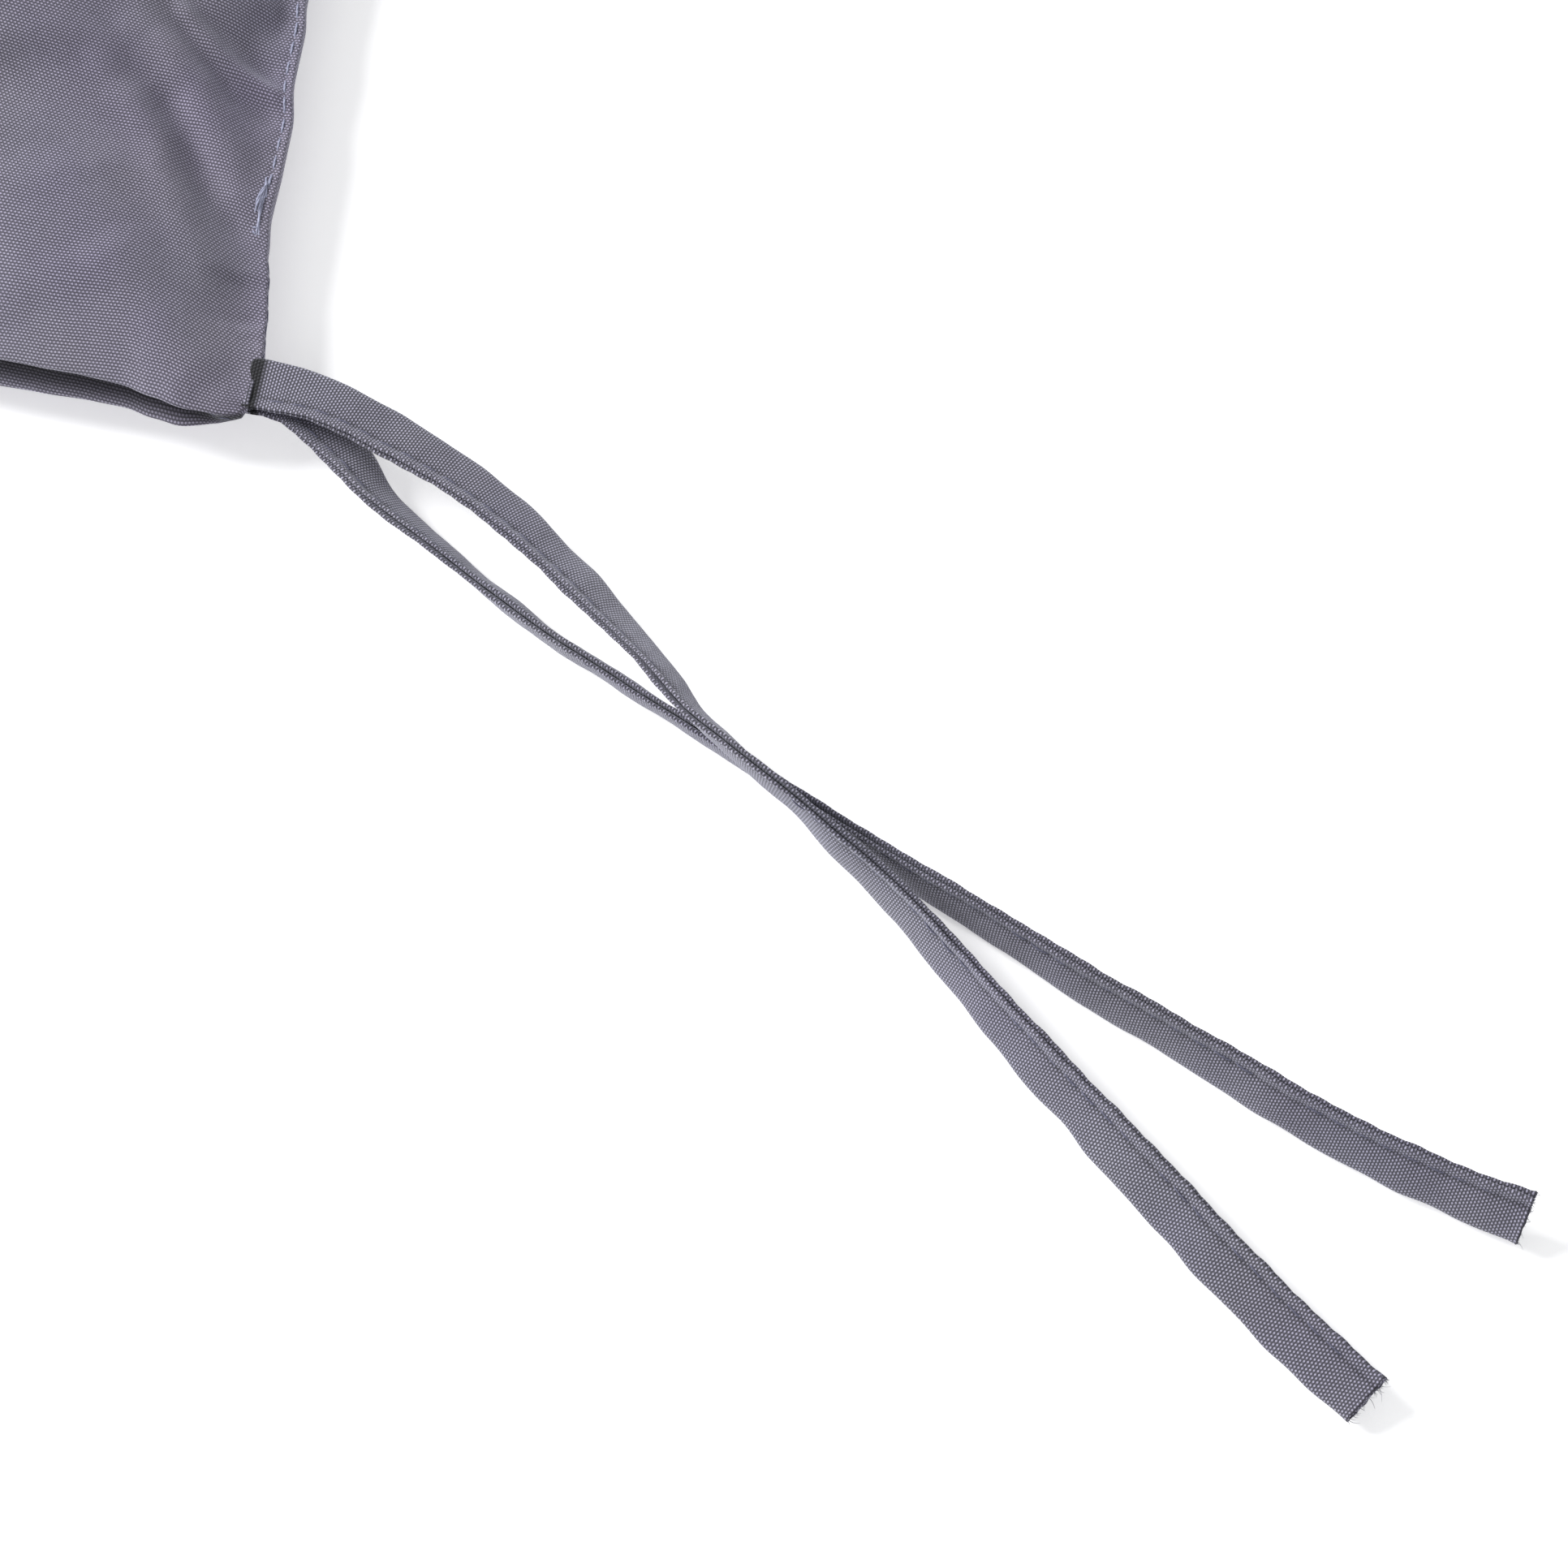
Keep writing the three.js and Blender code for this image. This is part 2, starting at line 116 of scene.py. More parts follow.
# Tension folds in the top near the right rear corner: half width, height, and the line along which
# each runs, in the seam's own plan, all in mm.
TOP_FOLDS = [
    (3.4, -1.6, [(141, 172), (147, 180), (158.5, 188), (163, 196.5)]),
    (4.0, 0.9, [(143, 167), (150, 175.5), (166, 183.5), (177, 191.5)]),
    (4.8, 1.55, [(131, 170), (137, 181), (146, 188.5), (153.5, 193.5), (159, 197)]),
    (2.8, -1.2, [(121, 170), (127, 177.5), (134.5, 187.5), (137, 197)]),
    (1.8, 1.6, [(122, 173), (128.3, 184), (132.2, 198)]),
    (2.6, -1.2, [(117, 170), (122, 180.7), (127.2, 196.5)]),
    (5.0, 0.9, [(104, 170), (110, 182), (114, 196)]),
    (6.0, -1.1, [(171, 193), (181, 196)]),
    (9.0, 1.0, [(176, 168), (190, 181), (197, 190)]),
    (14.0, 1.7, [(150, 130), (172, 150), (192, 160)]),
    (12.0, -1.4, [(120, 140), (150, 150), (166, 160)]),
]


# Shapes shared by the pieces.


def grid_quads(rows, columns, wrap=False):
    """The corners of each cell of a grid of points, as point numbers; wrap closes the columns."""
    r = np.arange(rows - 1)[:, None]
    c = np.arange(columns if wrap else columns - 1)[None, :]
    n = (c + 1) % columns
    cells = [r * columns + c, r * columns + n, (r + 1) * columns + n, (r + 1) * columns + c]
    return np.stack(cells, -1).reshape(-1, 4)


def make_piece(name, points, quads, uv=None, uv_quads=None, material=None, painted_shade=None):
    """A mesh object from points and four-sided faces. Where the volume the faces shut in, a sum of
    corner triple products, comes out negative, every face is turned over. The last argument is
    painted shade: a value for each point, from 0 to 1, that darkens the weave there."""
    points = np.asarray(points, float).reshape(-1, 3)
    corner = points[quads]
    volume = np.einsum("ij,ij->i", corner[:, 0], np.cross(corner[:, 1], corner[:, 2])).sum()
    volume += np.einsum("ij,ij->i", corner[:, 0], np.cross(corner[:, 2], corner[:, 3])).sum()
    turn = slice(None, None, -1) if volume < 0 else slice(None)
    quads = quads[:, turn]
    mesh = bpy.data.meshes.new(name)
    mesh.vertices.add(len(points))
    mesh.vertices.foreach_set("co", points.astype(np.float32).ravel())
    mesh.loops.add(quads.size)
    mesh.loops.foreach_set("vertex_index", quads.astype(np.int32).ravel())
    mesh.polygons.add(len(quads))
    mesh.polygons.foreach_set("loop_start", np.arange(0, quads.size, 4, dtype=np.int32))
    mesh.update(calc_edges=True)
    if uv is not None:
        faces = quads if uv_quads is None else uv_quads[:, turn]
        layer = mesh.uv_layers.new(name="cloth")
        layer.uv.foreach_set("vector", uv.reshape(-1, 2)[faces.ravel()].astype(np.float32).ravel())
    # Painted shade, kept as a point attribute that the weave reads.
    if painted_shade is not None:
        mesh.attributes.new("painted_shade", "FLOAT", "POINT").data.foreach_set("value", painted_shade)
    mesh.shade_smooth()
    piece = bpy.data.objects.new(name, mesh)
    bpy.context.scene.collection.objects.link(piece)
    if material is not None:
        mesh.materials.append(material)
    return piece


def spline(points, fine):
    """Centripetal Catmull-Rom curve through the points: between two points it is a cubic whose end
    tangents come from the neighbours, spaced by the square root of their distance. Only the first
    three numbers of a point set the spacing; any others are carried along."""
    p = np.asarray(points, float)
    ends = np.vstack([2 * p[0] - p[1], p, 2 * p[-1] - p[-2]])
    gap = np.sqrt(np.linalg.norm(np.diff(ends[:, :3], axis=0), axis=1))[:, None]
    d0, d1, d2 = gap[:-2], gap[1:-1], gap[2:]
    x0, x1, x2, x3 = ends[:-3], ends[1:-2], ends[2:-1], ends[3:]
    t1 = ((x1 - x0) / d0 - (x2 - x0) / (d0 + d1) + (x2 - x1) / d1) * d1
    t2 = ((x2 - x1) / d1 - (x3 - x1) / (d1 + d2) + (x3 - x2) / d2) * d1
    t = np.linspace(0, 1, fine, endpoint=False)[None, :, None]
    x1, x2, t1, t2 = (a[:, None, :] for a in (x1, x2, t1, t2))
    curve = x1 + t1 * t + (3 * (x2 - x1) - 2 * t1 - t2) * t**2 + (2 * (x1 - x2) + t1 + t2) * t**3
    return np.vstack([curve.reshape(-1, p.shape[1]), p[-1]])


def arc_lengths(points):
    """Distance along a line of points from its first one."""
    return np.r_[0, np.cumsum(np.linalg.norm(np.diff(points, axis=0), axis=1))]


def ease(x):
    """0 below 0, 1 above 1, and a smooth S between."""
    x = np.clip(x, 0, 1)
    return x * x * (3 - 2 * x)


def follow(places, table):
    """Values of a table of (place, value) at these places, with an S curve between entries."""
    at, value = np.array(table, float).T
    i = np.clip(np.searchsorted(at, places) - 1, 0, len(at) - 2)
    return value[i] + (value[i + 1] - value[i]) * ease((places - at[i]) / (at[i + 1] - at[i]))


def waver(s, lengths, seed):
    """A smooth wandering line about 0, within about 1: sines of the given wavelengths at phases
    drawn from the seed."""
    phase = np.random.default_rng(seed).uniform(0, 2 * math.pi, len(lengths))
    waves = [np.sin(2 * math.pi * s / w + f) for w, f in zip(lengths, phase)]
    return sum(waves) / len(lengths) ** 0.5


def above_seat(z):
    """Heights with those under 0.6 mm bent up, so that none falls below the seat."""
    return np.where(z < 6e-4, 3e-4 * np.exp(np.minimum(z, 6e-4) / 3e-4 - 1.307), z)


def tubes(lines, radii, across, above, sides):
    """Closed round tubes, all in one set of points and faces. lines holds the points of each tube's
    middle, as [tube, step, xyz]; each ring is radius * (cos a * across + sin a * above)."""
    angle = np.arange(sides) * 2 * math.pi / sides
    ring = (
        np.cos(angle)[:, None] * across[..., None, :] + np.sin(angle)[:, None] * above[..., None, :]
    )
    points = lines[..., None, :] + radii[..., None, None] * ring
    count, steps = lines.shape[:2]
    wall = grid_quads(steps, sides, True)
    start = np.arange(0, sides - 2, 2)
    cap = np.stack([0 * start, start + 1, start + 2, (start + 3) % sides], -1)
    one = np.vstack([wall, cap[:, ::-1], cap + (steps - 1) * sides])
    quads = (one[None] + (np.arange(count) * steps * sides)[:, None, None]).reshape(-1, 4)
    along = np.broadcast_to(arc_lengths(lines[0])[None, :, None], points.shape[:3])
    around = np.broadcast_to(angle / (2 * math.pi), points.shape[:3])
    return points.reshape(-1, 3), quads, np.stack([around, along], -1).reshape(-1, 2)


# Ties.

# Half of a tie's section, from the raw edge inside, round the stitched lip and over the outer face
# to the middle of the fold, as the middle line of the cloth in mm; the other half mirrors it.
# Its row of stitches is at STITCH_ROW, and the tie is TIE_FULLNESS times as thick as the section.
STITCH_ROW = -3.0
TIE_FULLNESS = 1.17
TIE_HIDDEN = 0.004  # length of a tie inside the seam, in metres
TIE_SECTION = [
    (2.4, 0.66), (0.8, 0.56), (-0.8, 0.44), (-1.9, 0.31), (-2.6, 0.19), (-3.1, 0.16), (-3.7, 0.21),
    (-4.3, 0.30), (-4.68, 0.35), (-4.84, 0.44), (-4.86, 0.54), (-4.74, 0.63), (-4.4, 0.66), (-3.8, 0.57),
    (-3.3, 0.47), (-3.0, 0.44), (-2.7, 0.47), (-2.2, 0.58), (-1.5, 0.72), (-0.5, 0.87), (0.6, 0.99),
    (1.8, 1.08), (3.0, 1.12), (3.8, 1.07), (4.4, 0.90), (4.75, 0.60), (4.86, 0.28),
]


class TieLine:
    """The middle line of a free tie, with the directions of its section: across runs from the
    stitched edge to the fold, and above stands on the needle's face."""

    def __init__(self, route, hidden):
        route = np.array(route, float)
        self.hidden = hidden
        self.curve = spline(np.vstack([route[:1] - [0, hidden, 0, 0], route]), 40)
        self.s = arc_lengths(self.curve[:, :3])
        self.length = self.s[-1]

    def place(self, s):
        """Points of the line at distances s."""
        return np.stack([np.interp(s, self.s, self.curve[:, k]) for k in range(3)], -1)

    def at(self, s):
        """Point, across, above and the tangent at distances s."""
        s = np.asarray(s, float)
        roll = np.radians(np.interp(s, self.s, self.curve[:, 3]))[..., None]
        step = 4e-4
        ahead, behind = np.minimum(s + step, self.length), np.maximum(s - step, 0)
        tangent = self.place(ahead) - self.place(behind)
        tangent /= np.linalg.norm(tangent, axis=-1, keepdims=True)
        left = np.cross([0, 0, 1], tangent)
        left /= np.linalg.norm(left, axis=-1, keepdims=True)
        over = np.cross(tangent, left)
        across = left * np.cos(roll) - over * np.sin(roll)
        above = over * np.cos(roll) + left * np.sin(roll)
        return self.place(s), across, above, tangent


def tie_shape(x, y, s, tie, look, seed, flare):
    """Moves a point (x, y) of the tie's section, in mm, at distance s along it. The height is
    scaled by a thickness that grows from the flat root and wanders; it is squeezed at each stitch
    hole, and the lip swells outwards between the holes, by a sine of the stitch length."""
    free = s - tie.hidden
    root = look.root_ply / look.thickness
    swell = root + (1 - root) * ease(free / look.swell_length)
    full = TIE_FULLNESS * swell * (1 + 0.10 * waver(s, [0.041, 0.023, 0.0134], seed))
    beat = np.abs(np.sin(math.pi * free / look.stitch))
    off_row = x - STITCH_ROW
    near_row = np.exp(-((off_row / 0.8) ** 2))
    lip = ease((-2.6 - x) / 1.6)
    side = np.sign(y)
    pucker = np.sin(2 * math.pi * (free / look.stitch + side * 0.3 + off_row / 9))
    body = ease((x + 3.2) / 2) * np.exp(-np.clip(off_row, 0, 99) / 4.5)
    open_end = 1 + flare * np.exp(-(tie.length - s) / 0.0022)
    y = y * full * open_end * (1 - 0.30 * near_row * (1 - beat**0.7))
    y = y + side * (0.055 * pucker * body * swell + 0.05 * lip * beat)
    y = y + 0.16 * waver(s, [0.019, 0.031], seed + 1) * np.exp(-(((x - 1) / 5) ** 2)) * swell
    x = x - 0.13 * lip * (beat - 0.5) + 0.10 * waver(s, [0.017, 0.0091, 0.029], seed + 2) * (x / 5)
    x = x + 0.22 * waver(s, [0.023, 0.014], seed + 3) * ease((x - 1) / 4)
    return x, y


def tie_surface(name, tie, look, seed, flare, material):
    """A tie: the section of a doubled cloth strip carried along the middle line. Each row of points
    is the outer side of the cloth and then its inner side, half a cloth's thickness to each side
    of the section's line; quads between the two sides close the cut ends. Its painted shade is a
    bell curve of the distance to the stitched valley, and another of the distance to the seam."""
    half = np.array(TIE_SECTION)
    section = np.vstack([half, (half * [1, -1])[::-1]])
    section = spline(np.c_[section, 0 * section[:, :1]], 1)[:, :2]
    way = np.gradient(section, axis=0)
    normal = np.stack([way[:, 1], -way[:, 0]], -1) / np.linalg.norm(way, axis=1)[:, None]
    cloth = look.cloth * 1000 / 2
    outline = np.vstack([section - normal * cloth, (section + normal * cloth)[::-1]])
    n = len(section)
    rows = int(tie.length / look.step)
    s = np.linspace(0, tie.length, rows)
    point, across, above, tangent = tie.at(s)
    x, y = tie_shape(outline[None, :, 0], outline[None, :, 1], s[:, None], tie, look, seed, flare)
    rng = np.random.default_rng(seed + 9)
    ragged = rng.uniform(-0.00016, 0.00022, 2 * n)
    ragged[n:] = ragged[:n][::-1] * 0.7
    points = (
        point[:, None] + (x[..., None] * across[:, None] + y[..., None] * above[:, None]) / 1000
    )
    points[-1] += ragged[:, None] * tangent[-1]
    points[..., 2] = above_seat(points[..., 2])
    reach = arc_lengths(section) / 1000
    u = np.r_[reach, reach[::-1], reach[:1]]
    uv = np.stack(np.broadcast_arrays(u[None, :], s[:, None]), -1)
    quads = grid_quads(rows, 2 * n, True)
    uv_quads = grid_quads(rows, 2 * n + 1)
    i = np.arange(n - 1)
    end = np.stack([i, i + 1, 2 * n - 2 - i, 2 * n - 1 - i], -1)
    # Painted shade: row darkens the stitched valley, and root darkens the bare tie next to the seam.
    row = 0.42 * np.exp(-(((outline[:, 0] + 2.75) / 0.34) ** 2))
    bare = np.clip(s - tie.hidden + 0.0020, 0, None)
    root = np.exp(-((bare / 0.0009) ** 2))
    painted_shade = np.maximum(root[:, None], row[None, :]).ravel()
    last, last_uv = (rows - 1) * 2 * n, (rows - 1) * (2 * n + 1)
    quads = np.vstack([quads, end[:, ::-1], end + last])
    uv_quads = np.vstack([uv_quads, end[:, ::-1], end + last_uv])
    painted_shade = painted_shade.astype(np.float32)
    return make_piece(name, points, quads, uv, uv_quads, material, painted_shade)


def tie_stitches(name, tie, look, seed, side, flare, material):
    """A row of stitches on one face of a tie: each is an arch whose height over the cloth is a
    root of a sine, from one hole to the next, and whose ends go down into the holes."""
    count = int((tie.length - tie.hidden - 0.004) / look.stitch)
    t = np.linspace(0, 1, 11)
    rng = np.random.default_rng(seed + 20)
    s = tie.hidden + (np.arange(count)[:, None] + 0.04 + 0.92 * t[None]) * look.stitch
    lean = rng.uniform(-0.06, 0.06, (count, 1)) + 0.10
    x = STITCH_ROW + lean * (t - 0.5) * 2 + rng.uniform(-0.07, 0.07, (count, 1))
    x, y = tie_shape(x, 0.0 * x + side * 0.56, s, tie, look, seed, flare)
    arch = -0.42 + (0.44 + rng.uniform(-0.04, 0.04, (count, 1))) * np.sin(math.pi * t) ** 0.45
    y = y + side * arch
    point, across, above, _ = tie.at(s)
    lines = point + (x[..., None] * across + y[..., None] * above) / 1000
    lines[..., 2] = above_seat(lines[..., 2] - look.thread / 2) + look.thread / 2
    radii = np.broadcast_to(look.thread / 2 * (0.55 + 0.45 * np.sin(math.pi * t) ** 0.4), s.shape)
    points, quads, uv = tubes(lines, radii, across, above, 6)
    return make_piece(name, points, quads, uv, None, material)


def tie_fold(name, x, shape, look, material):
    """The middle of a corner's strip, folded across inside the seam: a rounded flat section
    carried along a U of two straight runs and a half circle."""
    gap = 1.15
    turn = np.linspace(math.pi / 2, 1.5 * math.pi, 15)
    run = np.linspace(197.6, 192.5, 8)
    y = np.r_[run, 192 + gap * np.cos(turn), run[::-1]]
    z = np.r_[0 * run + gap, gap * np.sin(turn), 0 * run - gap] + shape.seam * 1000
    middle = np.stack([0 * y + x, y, z], -1)
    along = np.gradient(middle, axis=0)
    along /= np.linalg.norm(along, axis=1, keepdims=True)
    above = np.cross(along, [1.0, 0, 0])
    sides = 24
    angle = np.linspace(0, 2 * math.pi, sides, endpoint=False)
    wide = 4.9 * np.sign(np.cos(angle)) * np.abs(np.cos(angle)) ** 0.3
    thick = look.root_ply * 470 * np.sign(np.sin(angle)) * np.abs(np.sin(angle)) ** 0.6
    points = middle[:, None] + wide[None, :, None] * [1.0, 0, 0] + thick[None, :, None] * above[:, None]
    rows = len(middle)
    j = np.arange(sides // 2 - 1)
    cap = np.stack([j, j + 1, sides - 2 - j, sides - 1 - j], -1)
    quads = np.vstack([grid_quads(rows, sides, True), cap[:, ::-1], cap + (rows - 1) * sides])
    uv = np.stack(np.broadcast_arrays(wide[None], arc_lengths(middle)[:, None]), -1) / 1000
    return make_piece(name, points / 1000, quads, uv, None, material)


def fray(name, tie, look, seed, flare, material):
    """Loose fibres at a cut end: thin tubes that start on the cloth's cut edge and curl away, each
    along a parabola."""
    rng = np.random.default_rng(seed + 40)
    count = 44
    half = np.array(TIE_SECTION)
    place = half[rng.integers(1, len(half), count)] * np.stack(
        [np.ones(count), rng.choice([-1, 1], count)], -1
    )
    s = np.full(count, tie.length - 0.0002)
    x, y = tie_shape(place[:, 0], place[:, 1], s, tie, look, seed, flare)
    point, across, above, tangent = tie.at(s)
    start = point + (x[:, None] * across + y[:, None] * above) / 1000
    t = np.linspace(0, 1, 7)[None, :, None]
    reach = rng.uniform(0.0003, 0.0011, (count, 1, 1)) * (1 + 1.2 * (rng.random((count, 1, 1)) > 0.85))
    bend = rng.uniform(-0.7, 0.7, (count, 1, 2))
    side = bend[..., :1] * across[:, None] + bend[..., 1:] * above[:, None]
    lines = start[:, None] + reach * (t * tangent[:, None] + t**2 * side)
    radii = np.broadcast_to(0.00005 * (1 - 0.5 * t[..., 0]), (count, 7))
    a, b = (np.broadcast_to(v[:, None], lines.shape) for v in (across, above))
    points, quads, uv = tubes(lines, radii, a, b, 4)
    return make_piece(name, points, quads, uv, None, material)


# The cover.


def pad_lines(fine, coarse):
    """Places of the grid's lines across the pad in mm, from one seam to the other: crowded at both
    seams, fine over the 90 mm before the last one, and coarser between."""
    edge = np.array([0, 0.25, 0.5, 0.8, 1.15, 1.55, 2, 2.5, 3.1, 3.8, 4.6, 5.5, 6.5, 7.6, 8.8, 10])
    near, middle = np.arange(11, 90, fine), np.arange(90, 370, coarse)
    far = np.r_[np.arange(372, 389, 2.0), 2 * HALF - edge[::-1]]
    return HALF - np.r_[edge, near, middle, far][::-1]


def lip_width(px, shape):
    """Width of the flat lip behind the closing row, in mm; it runs out over 8 mm at each end."""
    return shape.lip * 1000 * np.clip((160 - np.abs(px)) / 8, 0, 1)


def fold_height(px, py, width, line):
    """Share of a fold's height: a bell curve of the distance to a bent line, times an S curve up
    over the first fifth of the line and down over the last."""
    steps = arc_lengths(line)
    nearest, place = np.full(px.shape, 1e9), np.zeros(px.shape)
    for start, end, first in zip(line[:-1], line[1:], steps):
        way = end - start
        t = np.clip(((px - start[0]) * way[0] + (py - start[1]) * way[1]) / (way @ way), 0, 1)
        off = np.hypot(px - start[0] - t * way[0], py - start[1] - t * way[1])
        place = np.where(off < nearest, first + t * np.linalg.norm(way), place)
        nearest = np.minimum(nearest, off)
    ends = ease((place / steps[-1] + 0.1) * 4) * ease((1.1 - place / steps[-1]) * 4)
    return np.exp(-((nearest / width) ** 2)) * ends


def cover_points(px, py, face, shape):
    """Points of the cover's top (face 1) or underside (face -1) at flat places (px, py) in mm.
    dx and dy are the distances to the nearest seams. The height is the seam's plus a rise, the
    product over both ways of a root of 1 - share**4, where share goes from 0 in the middle to 1 at
    the seam; the underside falls by the same rise but is flat soon. Behind, the top is the softened
    lower one of that height and a slope up from the rear seam, which meet in a hip, and the
    tension folds are added to it. Each side is drawn in by its table, the seam lies in a notch,
    and the underside's roll swells out below it."""
    dx, dy = HALF - np.abs(px), HALF - np.abs(py)
    rear = (py > 0).astype(float)
    lip = lip_width(px, shape) * rear
    dy_rise = np.clip((dy - lip) * HALF / (HALF - lip), 0, None)
    late_x, late_y = (d - 0.9 * (1 - np.exp(-d / 0.9)) for d in (dx, dy_rise))
    share_x, share_y = 1 - late_x / HALF, 1 - late_y / HALF
    power = 0.5 + 0.34 * rear * np.exp(-dy / 30)
    rise = np.sqrt(np.clip(1 - share_x**4, 0, 1)) * np.clip(1 - share_y**4, 0, 1) ** power
    nearest = np.minimum(dx, dy)
    edge = 1 - np.exp(-nearest / 0.35)
    seam = shape.seam * 1000
    if face > 0:
        crown = shape.height * 1000 - seam - 1.5
        z = seam + edge * (1.5 - 0.5 * rear * np.exp(-dy / 15)) + crown * rise
        roll_x, roll_y, reach = 1.6, 1.4 - 1.3 * rear, 1.3
        away = dy_rise - 2.5 * (1 - np.exp(-dy_rise / 2.5))
        slope = seam + edge + 0.44 * away + (1 - rear) * 99
        soft = 0.5 + 0.01 * dx
        rounding = soft * np.log1p(np.exp(-np.abs(z - slope) / soft))
        z = np.minimum(z, slope) - rounding * (1 - np.exp(-((dy_rise / 6) ** 2)))
        for width, high, line in TOP_FOLDS:
            z = z + high * fold_height(px, py, width, np.array(line, float))
    else:
        lift = np.clip(1 - rise / 0.6, 0, 1) ** 1.5
        z = (seam - edge) * (1 - edge) + (seam - edge) * lift * edge
        roll_x, roll_y, reach = shape.roll * 1000, shape.roll * 1000 * (1 - 0.85 * rear), 2.0
    lively = ease((dy - 1) / 14), ease((dx - 1) / 14)
    notch_x, notch_y = 3.6, 3.6 - 3.0 * rear
    inset_x = dx + notch_x * np.exp(-((dx / 0.8) ** 2)) * lively[0]
    inset_y = dy + notch_y * np.exp(-((dy / 0.8) ** 2)) * lively[1]
    inset_x = inset_x - (roll_x * lively[0]) * (dx / reach) * np.exp(1 - dx / reach)
    inset_y = inset_y - (roll_y * lively[1]) * (dy / reach) * np.exp(1 - dy / reach)
    a, b = np.sign(px) * (1 - inset_x / HALF), np.sign(py) * (1 - inset_y / HALF)
    x = a * (HALF - shape.side_pull * 1000 * (1 - b**2))
    y = b * (HALF - shape.side_pull * 1000 * (1 - a**2))
    x = x - np.sign(px) * follow(py * np.where(px > 0, 1, -1), SIDE_DRAW) * np.exp(-dx / 55)
    y = y - np.sign(py) * follow(px * np.where(py > 0, 1, -1), REAR_DRAW) * np.exp(-dy / 55)
    blunt = shape.blunt * 1000 * np.exp(-(dx + dy) / 3.5)
    x, y = x - np.sign(px) * blunt, y - np.sign(py) * blunt
    beside = np.clip(1 - (np.abs(np.abs(px) - TIE_X) - 5.4) / 2.2, 0, 1)
    z = z + face * rear * ease(beside) * 0.65 * np.exp(-dy / 6)
    row = np.exp(-(((dy - shape.closing_inset * 1000) / 0.55) ** 2)) * (lip > 0.5)
    beat = np.abs(np.cos(math.pi * px / (shape.closing_stitch * 1000)))
    z = z - face * row * (0.12 + 0.34 * beat**3)
    return np.stack([x, y, z], -1)


def cubic_weights(at, knots):
    """Weights that carry values at evenly spaced knots to other places, by a Catmull-Rom cubic."""
    step = knots[1] - knots[0]
    t = (at - knots[0]) / step
    i = np.clip(t.astype(int), 0, len(knots) - 2)
    t = (t - i)[:, None]
    near = 0.5 * np.hstack(
        [-(t**3) + 2 * t**2 - t, 3 * t**3 - 5 * t**2 + 2, -3 * t**3 + 4 * t**2 + t, t**3 - t**2]
    )
    weights = np.zeros((len(at), len(knots)))
    for k in range(4):
        np.add.at(
            weights, (np.arange(len(at)), np.clip(i + k - 1, 0, len(knots) - 1)), near[:, k]
        )
    return weights


def joined_faces(rows, columns):
    """Faces of the top's grid and of the underside's, which share the points round the outside,
    and the number of the point that each place of the underside's grid uses."""
    inner = np.zeros((rows, columns), bool)
    inner[1:-1, 1:-1] = True
    number = np.arange(rows * columns).reshape(rows, columns)
    number[inner] = rows * columns + np.arange(inner.sum())
    quads = grid_quads(rows, columns)
    return quads, number.ravel()[quads], inner.ravel()


def puff(shape):
    """How far a light cloth simulation moves the cover: the two faces, sewn and held at the seam,
    are cut a little too large and blown up, so they bulge and pucker towards the seams. Returns
    the moves in mm on an even grid, for the top and the underside."""
    count = 89
    knots = np.linspace(-HALF, HALF, count)
    py, px = np.meshgrid(knots, knots, indexing="ij")
    top, under = (cover_points(px, py, face, shape) / 1000 for face in (1, -1))
    quads, under_quads, inner = joined_faces(count, count)
    points = np.vstack([top.reshape(-1, 3), under.reshape(-1, 3)[inner]])
    blank = make_piece("seat_pad_blank", points, np.vstack([quads, under_quads[:, ::-1]]))
    start = np.empty(len(points) * 3, np.float32)
    blank.data.vertices.foreach_get("co", start)
    sewn = blank.vertex_groups.new(name="sewn")
    rim = np.flatnonzero(~inner)
    sewn.add([int(i) for i in rim], 1.0, "REPLACE")
    fill = blank.modifiers.new("fill", "CLOTH")
    cloth = fill.settings
    cloth.quality = 6
    cloth.mass = 0.12
    cloth.tension_stiffness = cloth.compression_stiffness = 30
    cloth.shear_stiffness = 12
    cloth.bending_stiffness = 0.6
    cloth.air_damping = 3
    cloth.use_pressure = True
    cloth.uniform_pressure_force = shape.pressure
    cloth.shrink_min = -shape.ease_in_cloth
    cloth.effector_weights.gravity = 0
    cloth.vertex_group_mass = "sewn"
    fill.collision_settings.use_collision = False
    scene = bpy.context.scene
    for number in range(1, 21):
        scene.frame_set(number)
    blown = blank.evaluated_get(bpy.context.evaluated_depsgraph_get()).to_mesh()
    end = np.empty(len(points) * 3, np.float32)
    blown.vertices.foreach_get("co", end)
    scene.frame_set(1)
    mesh = blank.data
    bpy.data.objects.remove(blank)
    bpy.data.meshes.remove(mesh)
    move = (end - start).reshape(-1, 3).astype(float) * 1000
    size = np.linalg.norm(move, axis=1, keepdims=True)
    cap = shape.cap * 1000
    move = move * (cap / (cap + size))
    top_move = move[: count**2].reshape(count, count, 3)
    under_move = np.zeros((count**2, 3))
    under_move[inner] = move[count**2 :]
    return knots, top_move, under_move.reshape(count, count, 3)


def evened(steps):
    """Averages of 25 neighbours down each column, taken twice."""
    for _ in range(2):
        padded = np.pad(steps, ((13, 12), (0, 0)), mode="edge")
        total = np.cumsum(padded, axis=0)
        steps = (total[25:] - total[:-25]) / 25
    return steps


